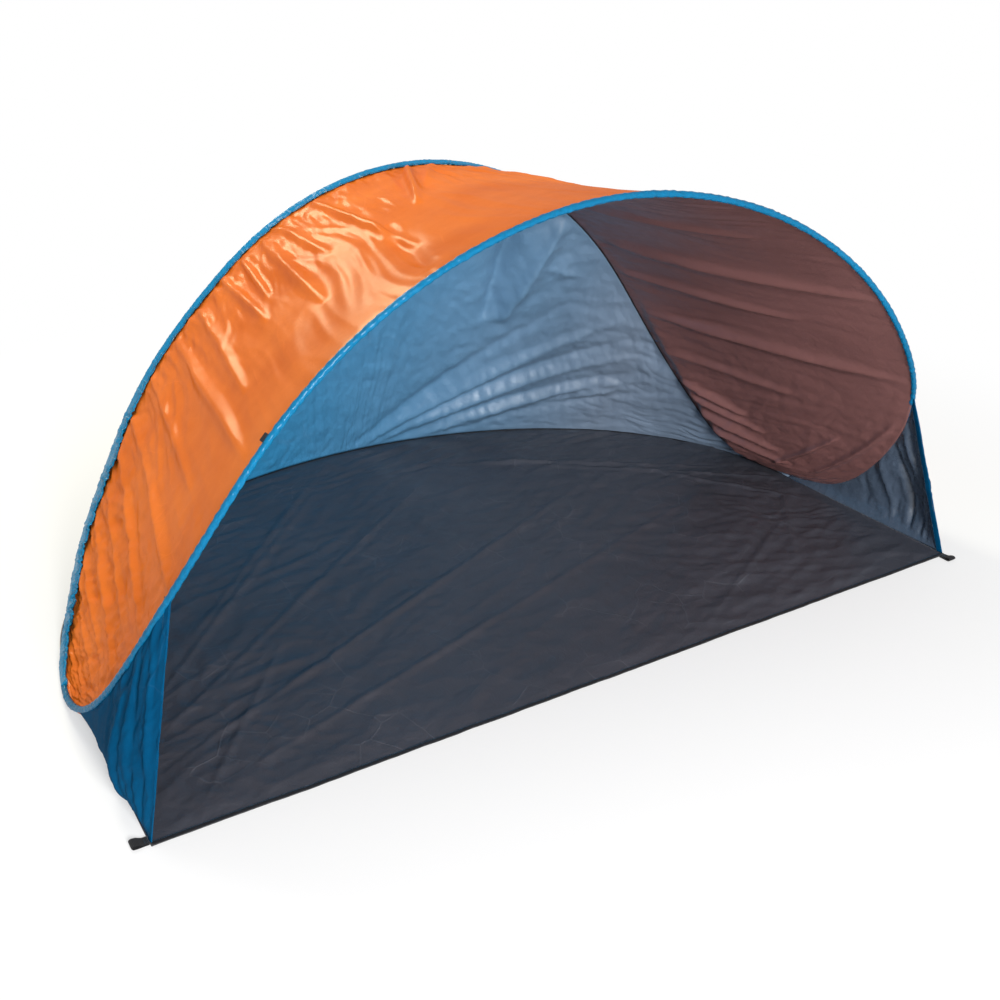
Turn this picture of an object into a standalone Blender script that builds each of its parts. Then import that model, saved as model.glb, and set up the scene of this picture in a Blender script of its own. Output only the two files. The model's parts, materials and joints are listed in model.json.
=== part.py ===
"""Pop-up beach tent: one sprung wire hoop bent over into two arches, and its sewn panels.

Metres, +Z up. The origin is on the ground, in the middle of the groundsheet.
+X runs along the opening and +Y from the opening to the back. Below, every place
is first worked out from the middle of the groundsheet's front edge, and the empty
named tent moves it to the origin.
"""

import math

import bmesh
import bpy
import numpy as np

# Groundsheet: straight front, straight sides, half an ellipse at the back
FLOOR_DEPTH = 1.497
FLOOR_HALF_WIDTH = 1.095
CORNER_FLARE = 0.005
FLOOR_STRAIGHT_SIDE = 0.640
FLOOR_THICKNESS = 0.0020
FLOOR_BACK_STEPS = 44
WALL_INSET = 0.0024
TAPE_WIDTH = 0.008
TAPE_HEIGHT = 0.0034
SEAM_TAPE_WIDTH = 0.004
SEAM_TAPE_HEIGHT = 0.0030
SEAM_TAPE_INSET = 0.012
SEAM_TAPE_REACH_SHARE = 0.94

# The hoop: a closed curve, flattened and bent over, that rests on the ground at each side,
# just outside the groundsheet
HOOP_OVERHANG = 0.025
HOOP_HALF_WIDTH = FLOOR_HALF_WIDTH + HOOP_OVERHANG
HOOP_HEIGHT = 1.078
HOOP_DEPTH = 0.949
HOOP_SETBACK = 0.043
WIRE_RADIUS = 0.0025
WIRE_SIDES = 6

# Half of the hoop from the middle of the front arch, down to the ground and up to the
# middle of the rear arch: shares across, back and up of its half width, depth and height
HOOP_SHARES = (
    (0.000, 0.024, 1.000),
    (0.248, 0.016, 0.964),
    (0.480, 0.007, 0.863),
    (0.679, 0.000, 0.703),
    (0.805, 0.010, 0.540),
    (0.867, 0.038, 0.436),
    (0.922, 0.114, 0.305),
    (0.968, 0.250, 0.150),
    (0.995, 0.400, 0.045),
    (1.000, 0.505, 0.011),
    (0.991, 0.608, 0.000),
    (0.968, 0.724, 0.006),
    (0.934, 0.820, 0.036),
    (0.862, 0.929, 0.166),
    (0.799, 0.969, 0.277),
    (0.676, 1.000, 0.486),
    (0.528, 0.975, 0.678),
    (0.379, 0.969, 0.811),
    (0.182, 0.972, 0.905),
    (0.000, 0.972, 0.932),
)

# The tent folds flat about the line through the hoop's two ground points
FOLD_SHARE = 0.586
FOLD_GAP = 0.006

# The joining tube crimped over the wire's two ends, low in the rear arch
FERRULE_WALL = 0.0015
FERRULE_LENGTH = 0.040
FERRULE_STATION = 12

# Sleeves round the wire: a rolled one on the front arch, a wide flat one on the rear arch
FRONT_SLEEVE_RADIUS = 0.008
REAR_SLEEVE_WIDTH = 0.038
REAR_SLEEVE_THICKNESS = 0.014
REAR_SLEEVE_MARGIN = 0.008
SLEEVE_SIDES = 10

# Cloth, the gap between pieces, and the wider one between flat panels and round sleeves
CLOTH = 0.0024
GAP = 0.0003
SEAM_GAP = 0.0009

# Roof and back wall: how far they sag and bulge, and how their weave leans to the ground
CANOPY_SAG = 0.012
CANOPY_ROWS = 9
WALL_ROWS = 8
WALL_BULGE = 0.012
WALL_LEAN = 1.35

# Places round both arches, as shares of the way from the middle to the fold line, and
# the number of steps up to each. Everything sewn to the hoop is divided there alike.
WING_TOP_SHARE = 0.622
CANOPY_SPLIT_SHARE = 0.745
CANOPY_END_SHARE = 0.925
WING_END_SHARE = 0.965
MIDDLE_SHARE = 0.85
SPAN_STEPS = (17, 4, 6, 2, 1)

# Main folds of the cloth, each a ridge between two places on its panel. Both places are
# shares: round the arch (0 in the middle, 1 at the fold line) and from the front to the
# rear arch, or from the arch to the ground on the wall. Then a width share and a height
# share of the fold height.
FOLD_HEIGHT = 0.016
CANOPY_FOLD_SHARES = (
    (-0.10, 0.72, -0.13, 0.99, 0.020, 1.0),
    (-0.30, 0.90, -0.20, 0.35, 0.030, -0.8),
    (-0.90, 0.55, -0.45, 0.40, 0.045, 0.9),
    (-0.90, 0.65, -0.50, 0.68, 0.040, -0.8),
    (-0.92, 0.45, -0.40, 0.15, 0.040, -0.7),
    (-0.80, 0.78, -0.42, 0.90, 0.035, 0.7),
    (0.90, 0.55, 0.35, 0.30, 0.050, -0.8),
    (0.88, 0.45, 0.30, 0.72, 0.045, 0.8),
    (0.92, 0.60, 0.55, 0.60, 0.035, 0.7),
)
WALL_FOLD_SHARES = (
    (0.10, 0.05, 0.50, 0.95, 0.040, 0.8),
    (0.30, 0.05, 0.65, 0.85, 0.040, -0.7),
    (-0.05, 0.10, 0.20, 0.95, 0.050, -0.6),
    (-0.55, 0.15, -0.20, 0.95, 0.045, 0.6),
    (-0.35, 0.05, -0.05, 0.70, 0.045, -0.5),
    (0.60, 0.20, 0.80, 0.80, 0.035, 0.7),
)

# Side wings between the front arch's feet and the groundsheet, with a turned hem in front
WING_ROWS = 8
HEM_WIDTH = 0.020
HEM_THICKNESS = 0.0036

# Webbing: three peg loops and a seam tab
WEBBING_WIDTH = 0.025
WEBBING_PLY = 0.0016
LOOP_LENGTH = 0.034
LOOP_HEIGHT = 0.0110
LOOP_SEWN_LENGTH = 0.008
LOOP_ARC_STEPS = 8
TAB_LENGTH = 0.022
TAB_REACH = 0.012
TAB_PLACE_SHARE = 0.446

# Dense sampling of the curves before they are divided by length
CURVE_SAMPLES = 60

PAINTS = {
    "orange_cloth": ((0.83, 0.24, 0.035), 0.48, 0.0),
    "blue_cloth": ((0.020, 0.165, 0.335), 0.42, 0.0),
    "blue_sleeve": ((0.016, 0.260, 0.520), 0.50, 0.0),
    "charcoal_cloth": ((0.036, 0.039, 0.048), 0.55, 0.0),
    "black_webbing": ((0.012, 0.012, 0.014), 0.75, 0.0),
    "spring_steel": ((0.45, 0.46, 0.48), 0.35, 1.0),
    "crimped_steel": ((0.55, 0.56, 0.58), 0.30, 1.0),
}


def clear_scene():
    for item in list(bpy.data.objects):
        bpy.data.objects.remove(item, do_unlink=True)


def paint(name):
    material = bpy.data.materials.get(name)
    if material:
        return material
    colour, roughness, metallic = PAINTS[name]
    material = bpy.data.materials.new(name)
    material.use_nodes = True
    shader = material.node_tree.nodes["Principled BSDF"]
    shader.inputs["Base Color"].default_value = (*colour, 1.0)
    shader.inputs["Roughness"].default_value = roughness
    shader.inputs["Metallic"].default_value = metallic
    return material


def unit(vectors):
    vectors = np.asarray(vectors, float)
    return vectors / np.linalg.norm(vectors, axis=-1, keepdims=True)


def closed_spline(places):
    """A smooth closed curve through the places, as CURVE_SAMPLES points on each span."""
    count = len(places)
    following = np.roll(places, -1, axis=0)
    spans = np.linalg.norm(following - places, axis=1)
    slopes = (following - places) / spans[:, None]
    matrix = np.zeros((count, count))
    for i in range(count):
        matrix[i, i - 1] += spans[i - 1]
        matrix[i, i] += 2 * (spans[i - 1] + spans[i])
        matrix[i, (i + 1) % count] += spans[i]
    bends = np.linalg.solve(matrix, 6 * (slopes - np.roll(slopes, 1, axis=0)))
    share = np.arange(CURVE_SAMPLES)[:, None] / CURVE_SAMPLES
    pieces = []
    for i in range(count):
        j = (i + 1) % count
        straight = (1 - share) * places[i] + share * places[j]
        bowed = ((1 - share) ** 3 - (1 - share)) * bends[i] + (share**3 - share) * bends[j]
        pieces.append(straight + bowed * spans[i] ** 2 / 6)
    return np.concatenate(pieces)


class Curve:
    """Half a curve, mirrored left to right, read by its share of length from the middle."""

    def __init__(self, points):
        self.points = points
        steps = np.linalg.norm(np.diff(points, axis=0), axis=1)
        self.shares = np.concatenate([[0], np.cumsum(steps)]) / steps.sum()
        self.length = steps.sum()

    def at(self, share):
        share = np.asarray(share, float)
        found = [np.interp(np.abs(share), self.shares, self.points[:, i]) for i in range(3)]
        found[0] = found[0] * np.sign(share)
        return np.stack(found, axis=-1)

    def tangent(self, share):
        share = np.asarray(share, float)
        step = 1 / CURVE_SAMPLES / len(HOOP_SHARES)
        low = np.clip(share - step, -1, 1)
        high = np.clip(share + step, -1, 1)
        return unit(self.at(high) - self.at(low))


def hoop_places():
    ground = max(FRONT_SLEEVE_RADIUS, REAR_SLEEVE_MARGIN) + GAP
    shares = np.array(HOOP_SHARES)
    half = np.stack(
        [
            shares[:, 0] * HOOP_HALF_WIDTH,
            HOOP_SETBACK + shares[:, 1] * HOOP_DEPTH,
            ground + shares[:, 2] * (HOOP_HEIGHT - ground),
        ],
        axis=1,
    )
    mirrored = half[-2:0:-1] * np.array([-1, 1, 1])
    return np.concatenate([half, mirrored])


def cut_curve(points, fold_line):
    """The front and the rear half of the hoop's right side, each from its arch's middle."""
    behind = np.nonzero(points[:, 1] > fold_line)[0]
    first = behind[0]
    share = (fold_line - points[first - 1, 1]) / (points[first, 1] - points[first - 1, 1])
    crossing = points[first - 1] + share * (points[first] - points[first - 1])
    front = np.concatenate([points[:first], [crossing]])
    rear = np.concatenate([[crossing], points[first:]])[::-1]
    return Curve(front), Curve(rear)


FOLD_LINE = HOOP_SETBACK + FOLD_SHARE * HOOP_DEPTH
HOOP = closed_spline(hoop_places())
RIGHT_SIDE = HOOP[: CURVE_SAMPLES * (len(HOOP_SHARES) - 1) + 1]
FRONT, REAR = cut_curve(RIGHT_SIDE, FOLD_LINE)
FOLD_HEIGHT_ABOVE_GROUND = FRONT.at(1.0)[2]


def middle_line(share):
    """The line round the canopy half way between the two arches."""
    return (FRONT.at(share) + REAR.at(share)) / 2


def cloth_axes(curve, share):
    """At places on an arch: along the wire, into the canopy and out of the tent."""
    along = curve.tangent(share)
    inward = middle_line(np.asarray(share) * MIDDLE_SHARE) - curve.at(share)
    inward = unit(inward - (inward * along).sum(-1, keepdims=True) * along)
    outward = np.cross(along, inward)
    return along, inward, outward if curve is FRONT else -outward


def stations(low=0.0, high=1.0):
    """The shares between two places round an arch at which everything is divided."""
    last = 1 - FOLD_GAP / 2 / REAR.length
    places = (0, WING_TOP_SHARE, CANOPY_SPLIT_SHARE, CANOPY_END_SHARE, WING_END_SHARE, last)
    shares = [0]
    for start, end, steps in zip(places, places[1:], SPAN_STEPS):
        shares.extend(np.linspace(start, end, steps + 1)[1:])
    shares = np.array(shares)
    return shares[(shares >= low - 1e-9) & (shares <= high + 1e-9)]


def both_sides(high):
    """The stations from the left side's place to the right side's."""
    half = stations(0.0, high)
    return np.concatenate([-half[:0:-1], half])


def grid_faces(rows, columns, closed_columns=False):
    faces = []
    last = columns if closed_columns else columns - 1
    for i in range(rows - 1):
        for j in range(last):
            k = (j + 1) % columns
            near, far = i * columns, (i + 1) * columns
            faces.append((near + j, near + k, far + k, far + j))
    return faces


def add_object(name, places, faces, colour, parent, origin=(0, 0, 0)):
    """One closed body with its faces turned out. Places and origin are from the front edge."""
    origin = np.asarray(origin, float)
    mesh = bpy.data.meshes.new(name)
    mesh.from_pydata([tuple(place) for place in np.asarray(places) - origin], [], faces)
    work = bmesh.new()
    work.from_mesh(mesh)
    bmesh.ops.recalc_face_normals(work, faces=work.faces)
    work.to_mesh(mesh)
    work.free()
    mesh.materials.append(paint(colour))
    mesh.shade_smooth()
    mesh.set_sharp_from_angle(angle=math.radians(40))
    item = bpy.data.objects.new(name, mesh)
    bpy.context.scene.collection.objects.link(item)
    item.parent = parent
    item.location = origin - np.array(parent["place"])
    return item


def add_axis(name, place, parent=None):
    """An empty on a joint's axis, or at the tent's origin."""
    item = bpy.data.objects.new(name, None)
    bpy.context.scene.collection.objects.link(item)
    item["place"] = [float(value) for value in place]
    if parent:
        item.parent = parent
        item.location = np.array(place) - np.array(parent["place"])
    return item


def sheet_body(grid, thickness):
    """A closed body round a grid of mid-surface places: rows, columns, three."""
    rows, columns, _ = grid.shape
    down = np.gradient(grid, axis=0)
    across = np.gradient(grid, axis=1)
    normal = unit(np.cross(down, across))
    top = (grid + normal * thickness / 2).reshape(-1, 3)
    bottom = (grid - normal * thickness / 2).reshape(-1, 3)
    count = rows * columns
    # Both sides are cut along the same diagonals, so that they can't cross
    faces = []
    for a, b, c, d in grid_faces(rows, columns):
        faces += [(a, b, c), (a, c, d)]
    under = [tuple(count + index for index in reversed(face)) for face in faces]
    rim = list(range(columns))
    rim += [i * columns + columns - 1 for i in range(1, rows)]
    rim += [(rows - 1) * columns + j for j in range(columns - 2, -1, -1)]
    rim += [i * columns for i in range(rows - 2, 0, -1)]
    side = []
    for i, index in enumerate(rim):
        following = rim[(i + 1) % len(rim)]
        side.append((following, index, count + index, count + following))
    return np.concatenate([top, bottom]), faces + under + side


def ring_section(half_width, half_thickness, shift, sides):
    angles = np.arange(sides) * 2 * math.pi / sides
    straight = half_width - half_thickness
    across = half_thickness * np.cos(angles) + straight * np.sign(np.round(np.cos(angles), 6))
    return across + shift, half_thickness * np.sin(angles)


def swept(centres, inward, outward, across, up):
    """The rings of a section carried along a curve, as one array of places."""
    rings = (
        centres[:, None, :]
        + across[None, :, None] * inward[:, None, :]
        + up[None, :, None] * outward[:, None, :]
    )
    return rings.reshape(-1, 3)


def solid_tube(centres, inward, outward, radius, sides):
    across, up = ring_section(radius, radius, 0, sides)
    places = swept(centres, inward, outward, across, up)
    faces = grid_faces(len(centres), sides, closed_columns=True)
    last = (len(centres) - 1) * sides
    faces.append(tuple(range(sides)))
    faces.append(tuple(last + i for i in reversed(range(sides))))
    return places, faces


def hollow_tube(centres, inward, outward, section, bore_radius, sides):
    outer = swept(centres, inward, outward, *section)
    inner = swept(centres, inward, outward, *ring_section(bore_radius, bore_radius, 0, sides))
    count = len(outer)
    faces = grid_faces(len(centres), sides, closed_columns=True)
    bore = [tuple(count + index for index in reversed(face)) for face in faces]
    ends = []
    for first in (0, (len(centres) - 1) * sides):
        for i in range(sides):
            j = (i + 1) % sides
            ends.append((first + i, first + j, count + first + j, count + first + i))
    return np.concatenate([outer, inner]), faces + bore + ends


def bore_for(radius):
    """A bore whose flats clear a round of this radius."""
    return (radius + GAP) / math.cos(math.pi / SLEEVE_SIDES)


def arch_path(curve):
    shares = both_sides(1.0)
    _, inward, outward = cloth_axes(curve, shares)
    return curve.at(shares), inward, outward


def build_front_arch(parent, origin):
    path = arch_path(FRONT)
    places, faces = solid_tube(*path, WIRE_RADIUS, WIRE_SIDES)
    add_object("hoop_front", places, faces, "spring_steel", parent, origin)
    section = ring_section(FRONT_SLEEVE_RADIUS, FRONT_SLEEVE_RADIUS, 0, SLEEVE_SIDES)
    places, faces = hollow_tube(*path, section, bore_for(WIRE_RADIUS), SLEEVE_SIDES)
    add_object("sleeve_front", places, faces, "blue_sleeve", parent, origin)


def build_rear_arch(parent):
    centres, inward, outward = arch_path(REAR)
    places, faces = solid_tube(centres, inward, outward, WIRE_RADIUS, WIRE_SIDES)
    add_object("hoop_rear", places, faces, "spring_steel", parent)
    shift = REAR_SLEEVE_WIDTH / 2 - REAR_SLEEVE_MARGIN
    section = ring_section(
        REAR_SLEEVE_WIDTH / 2, REAR_SLEEVE_THICKNESS / 2, shift, SLEEVE_SIDES
    )
    ferrule_bore = bore_for(WIRE_RADIUS)
    ferrule_radius = ferrule_bore + FERRULE_WALL
    places, faces = hollow_tube(
        centres, inward, outward, section, bore_for(ferrule_radius), SLEEVE_SIDES
    )
    add_object("sleeve_rear", places, faces, "blue_sleeve", parent)
    ends = slice(FERRULE_STATION, FERRULE_STATION + 2)
    middle = centres[ends].mean(axis=0)
    half = unit(centres[ends][1] - centres[ends][0]) * FERRULE_LENGTH / 2
    places, faces = hollow_tube(
        np.array([middle - half, middle + half]),
        inward[ends],
        outward[ends],
        ring_section(ferrule_radius, ferrule_radius, 0, SLEEVE_SIDES),
        ferrule_bore,
        SLEEVE_SIDES,
    )
    add_object("hoop_ferrule", places, faces, "crimped_steel", parent)


def fold_height(around, down, folds):
    """The height of the cloth's main folds at shares of a panel, as a length."""
    height = np.zeros_like(around)
    for start_a, start_d, end_a, end_d, width_share, height_share in folds:
        run_a, run_d = end_a - start_a, end_d - start_d
        along = ((around - start_a) * run_a + (down - start_d) * run_d) / (run_a**2 + run_d**2)
        near = np.clip(along, 0, 1)
        off_a = around - start_a - near * run_a
        off_d = (down - start_d - near * run_d) / 2
        taper = np.sin(math.pi * np.clip(0.1 + 0.8 * along, 0, 1)) ** 0.5
        height += height_share * taper * np.exp(-(off_a**2 + off_d**2) / width_share**2)
    return FOLD_HEIGHT * height


def canopy_grid(shares):
    """Mid-surface places of the canopy from the front arch (row 0) to the rear arch."""
    _, _, front_out = cloth_axes(FRONT, shares)
    _, rear_in, rear_out = cloth_axes(REAR, shares)
    front_edge = FRONT.at(shares) - front_out * (FRONT_SLEEVE_RADIUS + GAP + CLOTH / 2)
    rear_edge = REAR.at(shares) + rear_in * (REAR_SLEEVE_WIDTH - REAR_SLEEVE_MARGIN + SEAM_GAP)
    down = np.linspace(0, 1, CANOPY_ROWS + 1)[:, None]
    around = np.broadcast_to(shares, (CANOPY_ROWS + 1, len(shares)))
    out = unit(front_out + rear_out)
    free = np.sin(math.pi * down)
    rise = free * (fold_height(around, down + 0 * around, CANOPY_FOLD_SHARES) - CANOPY_SAG)
    flat = front_edge[None] * (1 - down[..., None]) + rear_edge[None] * down[..., None]
    return flat + rise[..., None] * out[None]


def build_canopy(parent):
    places, faces = sheet_body(canopy_grid(both_sides(CANOPY_SPLIT_SHARE)), CLOTH)
    add_object("canopy", places, faces, "orange_cloth", parent)
    shares = stations(CANOPY_SPLIT_SHARE, CANOPY_END_SHARE)
    shares[0] += 2 * GAP / REAR.length
    for name, side in (("canopy_end_left", -1), ("canopy_end_right", 1)):
        places, faces = sheet_body(canopy_grid(side * shares), CLOTH)
        add_object(name, places, faces, "orange_cloth", parent)


def seam_height():
    """How high the middle of a panel starts over the ground, where it is sewn to the floor."""
    return FLOOR_THICKNESS + GAP + CLOTH / 2


def floor_back():
    """The groundsheet's outline behind the fold line, from the middle of the back."""
    back_depth = FLOOR_DEPTH - FLOOR_STRAIGHT_SIDE
    angles = np.linspace(math.pi / 2, 0, CURVE_SAMPLES * 4)
    curved = np.stack(
        [
            FLOOR_HALF_WIDTH * np.cos(angles),
            FLOOR_STRAIGHT_SIDE + back_depth * np.sin(angles),
            0 * angles,
        ],
        axis=1,
    )
    side_end = [[FLOOR_HALF_WIDTH, FOLD_LINE + FOLD_GAP / 2, 0]]
    return Curve(np.concatenate([curved, side_end]))


FLOOR_BACK = floor_back()


def floor_back_inset(shares, inset):
    outline = FLOOR_BACK.at(shares)
    along = FLOOR_BACK.tangent(shares)
    into = np.cross([0, 0, -1], along)
    return outline + into * inset


def leave_wire(curve, shares, foot, radius):
    """Where a panel that runs down to foot leaves a sleeve of this radius, and which way."""
    wire = curve.at(shares)
    drop = unit(foot - wire)
    askew = (drop * curve.tangent(shares)).sum(-1, keepdims=True)
    return wire + drop * (radius + SEAM_GAP) / np.sqrt(1 - askew**2), drop


def build_back_wall(parent):
    shares = both_sides(CANOPY_END_SHARE)
    foot = floor_back_inset(np.sign(shares) * np.abs(shares) ** WALL_LEAN, WALL_INSET)
    foot[:, 2] = seam_height()
    radius = max(REAR_SLEEVE_MARGIN, REAR_SLEEVE_THICKNESS / 2)
    top, drop = leave_wire(REAR, shares, foot, radius)
    down = np.linspace(0, 1, WALL_ROWS + 1)[:, None]
    around = np.broadcast_to(shares, (WALL_ROWS + 1, len(shares)))
    flat = top[None] * (1 - down[..., None]) + foot[None] * down[..., None]
    out = unit(np.cross(np.gradient(top, axis=0), drop))
    calm = np.sin(math.pi * down) * (1 - np.abs(around) ** 6)
    rise = calm * (WALL_BULGE + fold_height(around, down + 0 * around, WALL_FOLD_SHARES))
    places, faces = sheet_body(flat + rise[..., None] * out[None], CLOTH)
    add_object("back_wall", places, faces, "blue_cloth", parent)


def wing_grid(side):
    """Mid-surface places of a side wing: rows from the wire to the ground, columns back."""
    shares = side * stations(WING_TOP_SHARE, WING_END_SHARE)
    wire = FRONT.at(shares)
    foot = wire.copy()
    back = (wire[:, 1] - wire[0, 1]) / (wire[-1, 1] - wire[0, 1])
    foot[:, 1] = back * wire[-1, 1]
    foot[:, 0] = side * (floor_side(foot[:, 1]) - WALL_INSET)
    foot[:, 2] = seam_height()
    top, _ = leave_wire(FRONT, shares, foot, FRONT_SLEEVE_RADIUS)
    down = np.linspace(0, 1, WING_ROWS + 1)[:, None, None]
    return top[None] * (1 - down) + foot[None] * down


def floor_side(back):
    """Half the groundsheet's width at places between its front edge and the fold line."""
    return FLOOR_HALF_WIDTH + CORNER_FLARE * (1 - back / FOLD_LINE)


def build_wings(parent, origin):
    for end, side in (("left", -1), ("right", 1)):
        grid = wing_grid(side)
        edge = grid[:, 0]
        into = unit(grid[:, 1] - edge)
        hem = np.stack([edge, edge + into * HEM_WIDTH], axis=1)
        panel = grid.copy()
        panel[:, 0] = edge + into * (HEM_WIDTH + GAP)
        places, faces = sheet_body(panel, CLOTH)
        add_object("side_wing_" + end, places, faces, "blue_cloth", parent, origin)
        places, faces = sheet_body(hem, HEM_THICKNESS)
        add_object("wing_hem_" + end, places, faces, "blue_cloth", parent, origin)


def prism(outline, low, high):
    count = len(outline)
    bottom = [(x, y, low) for x, y in outline]
    top = [(x, y, high) for x, y in outline]
    faces = [tuple(reversed(range(count))), tuple(range(count, 2 * count))]
    for i in range(count):
        j = (i + 1) % count
        faces.append((i, j, count + j, count + i))
    return bottom + top, faces


def build_floor(root, front, origin):
    back_edge = FOLD_LINE - FOLD_GAP / 2
    corner, side = floor_side(0), floor_side(back_edge)
    outline = [(-corner, 0), (corner, 0), (side, back_edge), (-side, back_edge)]
    places, faces = prism(outline, 0, FLOOR_THICKNESS)
    add_object("floor_front", places, faces, "charcoal_cloth", front, origin)
    edge = FLOOR_BACK.at(np.linspace(1, -1, FLOOR_BACK_STEPS + 1))
    places, faces = prism([(x, y) for x, y, _ in edge], 0, FLOOR_THICKNESS)
    add_object("floor_rear", places, faces, "charcoal_cloth", root)
    near, far = -GAP, -GAP - TAPE_WIDTH
    outline = [(-corner, far), (corner, far), (corner, near), (-corner, near)]
    places, faces = prism(outline, 0, TAPE_HEIGHT)
    add_object("front_edge_tape", places, faces, "black_webbing", front, origin)
    shares = np.linspace(-SEAM_TAPE_REACH_SHARE, SEAM_TAPE_REACH_SHARE, FLOOR_BACK_STEPS + 1)
    outer = floor_back_inset(shares, SEAM_TAPE_INSET)
    inner = floor_back_inset(shares, SEAM_TAPE_INSET + SEAM_TAPE_WIDTH)
    outline = [(x, y) for x, y, _ in np.concatenate([outer, inner[::-1]])]
    low = FLOOR_THICKNESS + GAP
    places, faces = prism_strip(outline, low, low + SEAM_TAPE_HEIGHT)
    add_object("floor_seam_tape", places, faces, "black_webbing", root)


def prism_strip(outline, low, high):
    """A prism over a long thin outline, whose second half runs back beside the first."""
    places, faces = prism(outline, low, high)
    count = len(outline)
    faces = faces[2:]
    for i in range(count // 2 - 1):
        j = count - 1 - i
        faces.append((j, j - 1, i + 1, i))
        faces.append((count + i, count + i + 1, count + j - 1, count + j))
    return places, faces


def loop_profile(inset):
    """A webbing loop's outline from the side: distance out, height. It rests on the ground."""
    radius = LOOP_HEIGHT / 2 - inset
    centre = LOOP_LENGTH - LOOP_HEIGHT / 2
    start = 0 if inset == 0 else LOOP_SEWN_LENGTH
    low = inset
    rise = 2 * WEBBING_PLY if inset == 0 else inset + GAP
    angles = np.linspace(-math.pi / 2, math.pi / 2, LOOP_ARC_STEPS + 1)
    arc = [
        (centre + radius * math.cos(angle), LOOP_HEIGHT / 2 + radius * math.sin(angle))
        for angle in angles
    ]
    return [(start, low)] + arc + [(start, rise)]


def add_peg_loop(name, hinge, out, parent):
    """A loop of webbing hinged where it is sewn on. out is the way it points."""
    out = np.array([out[0], out[1], 0.0])
    across = np.array([-out[1], out[0], 0.0])
    outer, inner = loop_profile(0), loop_profile(WEBBING_PLY)
    count = len(outer)
    places = []
    for side in (-WEBBING_WIDTH / 2, WEBBING_WIDTH / 2):
        for profile in (outer, inner):
            for reach, height in profile:
                place = np.array(hinge) + out * reach + across * side
                place[2] = height
                places.append(place)
    faces = []
    for i in range(count):
        j = (i + 1) % count
        left_out, left_in, right_out, right_in = 0, count, 2 * count, 3 * count
        faces.append((left_out + i, left_out + j, right_out + j, right_out + i))
        faces.append((left_in + j, left_in + i, right_in + i, right_in + j))
        faces.append((left_out + j, left_out + i, left_in + i, left_in + j))
        faces.append((right_out + i, right_out + j, right_in + j, right_in + i))
    add_object(name, places, faces, "black_webbing", parent, (*hinge[:2], 2 * WEBBING_PLY))


def build_peg_loops(root, front):
    corner = floor_side(0)
    half = WEBBING_WIDTH / 2
    add_peg_loop("peg_loop_front_left", (-corner - GAP, half, 0), (-1, 0), front)
    add_peg_loop("peg_loop_front_right", (corner - half, -TAPE_WIDTH - 2 * GAP, 0), (0, -1), front)
    add_peg_loop("peg_loop_rear", (0, FLOOR_DEPTH + GAP, 0), (0, 1), root)


def build_seam_tab(parent, origin):
    """A folded bit of webbing caught in the front sleeve's seam, on the left."""
    share = np.array([-TAB_PLACE_SHARE])
    along, inward, outward = (axis[0] for axis in cloth_axes(FRONT, share))
    wire = FRONT.at(share)[0]
    near = FRONT_SLEEVE_RADIUS + GAP
    far = near + WEBBING_PLY
    section = ((0, near), (0, far), (TAB_REACH, far), (TAB_REACH, near))
    places = []
    for end in (-TAB_LENGTH / 2, TAB_LENGTH / 2):
        for reach, height in section:
            places.append(wire + along * end + inward * reach + outward * height)
    faces = [(0, 1, 2, 3), (7, 6, 5, 4)]
    for i in range(4):
        j = (i + 1) % 4
        faces.append((i, 4 + i, 4 + j, j))
    add_object("seam_tab", places, faces, "black_webbing", parent, origin)


def build():
    clear_scene()
    tent = add_axis("tent", (0, FLOOR_DEPTH / 2, 0))
    fold_axis = (0, FOLD_LINE, FOLD_HEIGHT_ABOVE_GROUND)
    front = add_axis("arch_fold_axis", fold_axis, tent)
    build_front_arch(front, fold_axis)
    build_rear_arch(tent)
    build_canopy(tent)
    build_back_wall(tent)
    build_wings(front, fold_axis)
    build_floor(tent, front, fold_axis)
    build_peg_loops(tent, front)
    build_seam_tab(front, fold_axis)
    bpy.context.view_layer.update()


build()
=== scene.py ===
import json
import math

import bpy
import numpy as np
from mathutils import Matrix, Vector


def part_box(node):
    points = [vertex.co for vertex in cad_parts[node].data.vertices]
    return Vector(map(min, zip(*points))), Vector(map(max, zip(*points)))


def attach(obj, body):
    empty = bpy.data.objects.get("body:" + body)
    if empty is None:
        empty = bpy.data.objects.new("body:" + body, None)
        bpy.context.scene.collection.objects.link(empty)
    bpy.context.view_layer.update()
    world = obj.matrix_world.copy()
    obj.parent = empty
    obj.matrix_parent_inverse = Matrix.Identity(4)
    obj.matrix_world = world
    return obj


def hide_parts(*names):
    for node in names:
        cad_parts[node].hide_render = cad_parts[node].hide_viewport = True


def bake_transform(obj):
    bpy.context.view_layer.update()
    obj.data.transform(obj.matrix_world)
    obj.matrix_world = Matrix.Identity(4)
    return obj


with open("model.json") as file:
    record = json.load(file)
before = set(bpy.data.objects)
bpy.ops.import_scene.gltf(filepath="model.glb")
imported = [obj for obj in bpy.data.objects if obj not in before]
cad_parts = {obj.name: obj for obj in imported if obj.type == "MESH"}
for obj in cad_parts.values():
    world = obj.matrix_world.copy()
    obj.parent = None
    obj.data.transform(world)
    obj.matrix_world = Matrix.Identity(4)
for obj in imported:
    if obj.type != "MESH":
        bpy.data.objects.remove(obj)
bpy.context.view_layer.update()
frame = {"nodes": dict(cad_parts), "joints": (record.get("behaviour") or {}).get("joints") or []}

# Looks of the pop-up beach tent. Metres, +Z up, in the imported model's frame. Each cloth panel
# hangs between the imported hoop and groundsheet, and is then given its folds and creases.

FOLD_Y = next(j for j in frame["joints"] if j["name"] == "arch_fold")["pos_m"][1]

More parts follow.
